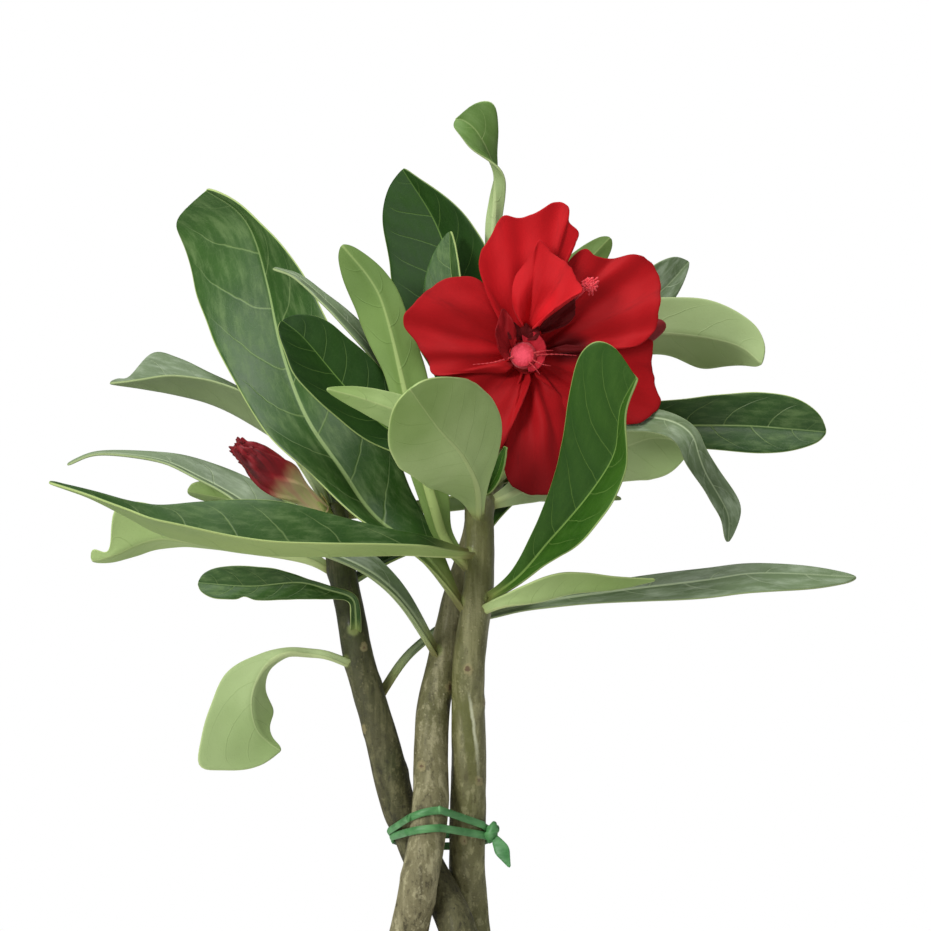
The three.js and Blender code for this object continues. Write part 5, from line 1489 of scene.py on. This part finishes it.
def clayMaterial():
    paint = Paint("firedClay")
    place = paint.place()
    x, y, z = paint.parts(place)
    cloud = paint.grain(place, 14, 4).rise(0.3, 0.7)
    fine = paint.grain(place, 700, 4, 0.7)
    turned = paint.grain(paint.scaled(place, (0.12, 0.12, 1)), 160, 3, 0.6)
    bloom = paint.grain(place, 26, 5, 0.65).rise(0.52, 0.72) * z.rise(0.02, 0.1, 0.75, 0.4)
    pits = paint.cells(place, 420).rise(0.05, 0.22, 1.0, 0.0) * paint.grain(place, 90).rise(0.5, 0.6)
    skin = paint.blend((160, 84, 54), (194, 116, 80), cloud * 0.6 + turned.rise(0.35, 0.65) * 0.4)
    skin = paint.blend(skin, (222, 192, 170), bloom * 0.55 + z.rise(0.0, 0.012, 0.3, 0.0))
    skin = paint.blend(skin, (112, 58, 38), pits * 0.6 + fine.rise(0.3, 0.42, 0.35, 0.0))
    inner = (x * x + y * y) ** 0.5
    damp = z.rise(0.106, 0.1115, 1.0, 0.0) * inner.rise(0.0700, 0.0708, 1.0, 0.0)
    skin = paint.blend(skin, (96, 54, 36), damp * 0.7)
    height = turned * 0.8 + fine * 0.5 - pits
    return paint.done(skin, fine * 0.1 + 0.78, paint.bump(height, 0.0006, 0.5))


def innerRadius(z):
    low = pot["floor"] + 2
    return mix(pot["innerFoot"], pot["innerMouth"], (z - low) / (pot["height"] - 3 - low))


def soilHeight(x, y):
    edge = innerRadius(soil["level"] - 2) - 0.5
    near = min(1, math.hypot(x, y) / edge)
    swell = math.sin(x * 0.31 + math.sin(y * 0.23) * 2) * math.cos(y * 0.37 + math.sin(x * 0.19) * 2)
    crumbs = 1.1 * noise.noise(Vector((x * 0.35, y * 0.35, 5))) + 0.7 * noise.noise(Vector((x, y, 9)))
    return soil["level"] + soil["mound"] * (1 - near ** 2) + soil["relief"] * swell + crumbs


def soilBody():
    low, top = pot["floor"] + 0.5, soil["level"] - 2.5
    edge = innerRadius(top) - 0.4

    def place(angle, share):
        # the flat underside first, then the wall, and most of the rings for the mounded top
        if share < 0.08:
            return (0, 0, low)
        if share < 0.12:
            r, z = innerRadius(low + 2) - 2.5, low
        elif share < 0.16:
            r, z = edge, top
        else:
            r = edge * (1 - (share - 0.16) / 0.84)
            z = None
        x, y = r * math.cos(angle), r * math.sin(angle)
        return (x, y, soilHeight(x, y) if z is None else z)

    return rolled("soilBody", 150, 100, place)


def soilGrains(name, count, sizes):
    bpy.ops.mesh.primitive_ico_sphere_add(subdivisions=1, radius=1)
    model = bpy.context.object
    feet = [stemCentre(stem, soil["level"] + 1) for stem in stems]
    made = []
    while len(made) < count:
        r = innerRadius(soil["level"]) * math.sqrt(random.random()) - 2.5
        angle = random.uniform(0, 2 * math.pi)
        x, y = r * math.cos(angle), r * math.sin(angle)
        size = random.uniform(*sizes)
        if min(math.hypot(x - foot.x, y - foot.y) for foot in feet) < soil["clear"] + size:
            continue
        grain = model.copy()
        grain.data = model.data.copy()
        bpy.context.scene.collection.objects.link(grain)
        stretch = [random.uniform(*span) for span in ((0.7, 1.3), (0.7, 1.2), (0.5, 0.9))]
        turn = random.uniform(0, 6.28)
        axis = Vector((random.random(), random.random(), random.random() + 0.1))
        lies = Matrix.Translation(Vector((x, y, soilHeight(x, y) + size * 0.15)) * mm)
        shape = Matrix.Diagonal((*stretch, 1)) @ Matrix.Scale(size * mm, 4)
        grain.data.transform(lies @ Matrix.Rotation(turn, 4, axis) @ shape)
        made.append(grain)
    bpy.data.objects.remove(model)
    return join(made, name)


def soilMaterial(name, deep, pale, light):
    paint = Paint(name)
    place = paint.place()
    cloud = paint.grain(place, 130, 4)
    fine = paint.grain(place, 900, 5, 0.75)
    specks = paint.cells(place, 520).rise(0.08, 0.25, 1.0, 0.0) * paint.grain(place, 300).rise(0.58, 0.66)
    skin = paint.blend(deep, pale, cloud.rise(0.35, 0.65) * 0.6 + fine.rise(0.4, 0.7) * 0.4)
    skin = paint.blend(skin, light, specks * 0.7)
    return paint.done(skin, fine * 0.1 + 0.85, paint.bump(fine + cloud * 0.6, 0.001, 0.8))


finished(clayBody(), ["pot"], clayMaterial(), 35)
finished(soilBody(), ["soil"],
         soilMaterial("pottingSoil", (44, 32, 24), (78, 58, 42), (150, 132, 110)))
grains = {
    "barkGrains": {"count": 260, "sizes": (0.9, 2.6),
                   "tints": ((58, 40, 28), (104, 76, 52), (140, 110, 80))},
    "pumiceGrains": {"count": 110, "sizes": (0.8, 2),
                     "tints": ((176, 168, 152), (222, 216, 204), (240, 236, 226))},
    "gritGrains": {"count": 150, "sizes": (0.7, 1.6),
                   "tints": ((86, 80, 74), (132, 124, 114), (170, 162, 150))},
}
for name, grain in grains.items():
    piece = soilGrains(name, grain["count"], grain["sizes"])
    finished(piece, ["soil"], soilMaterial(name, *grain["tints"]), 30)
print("pot filled")
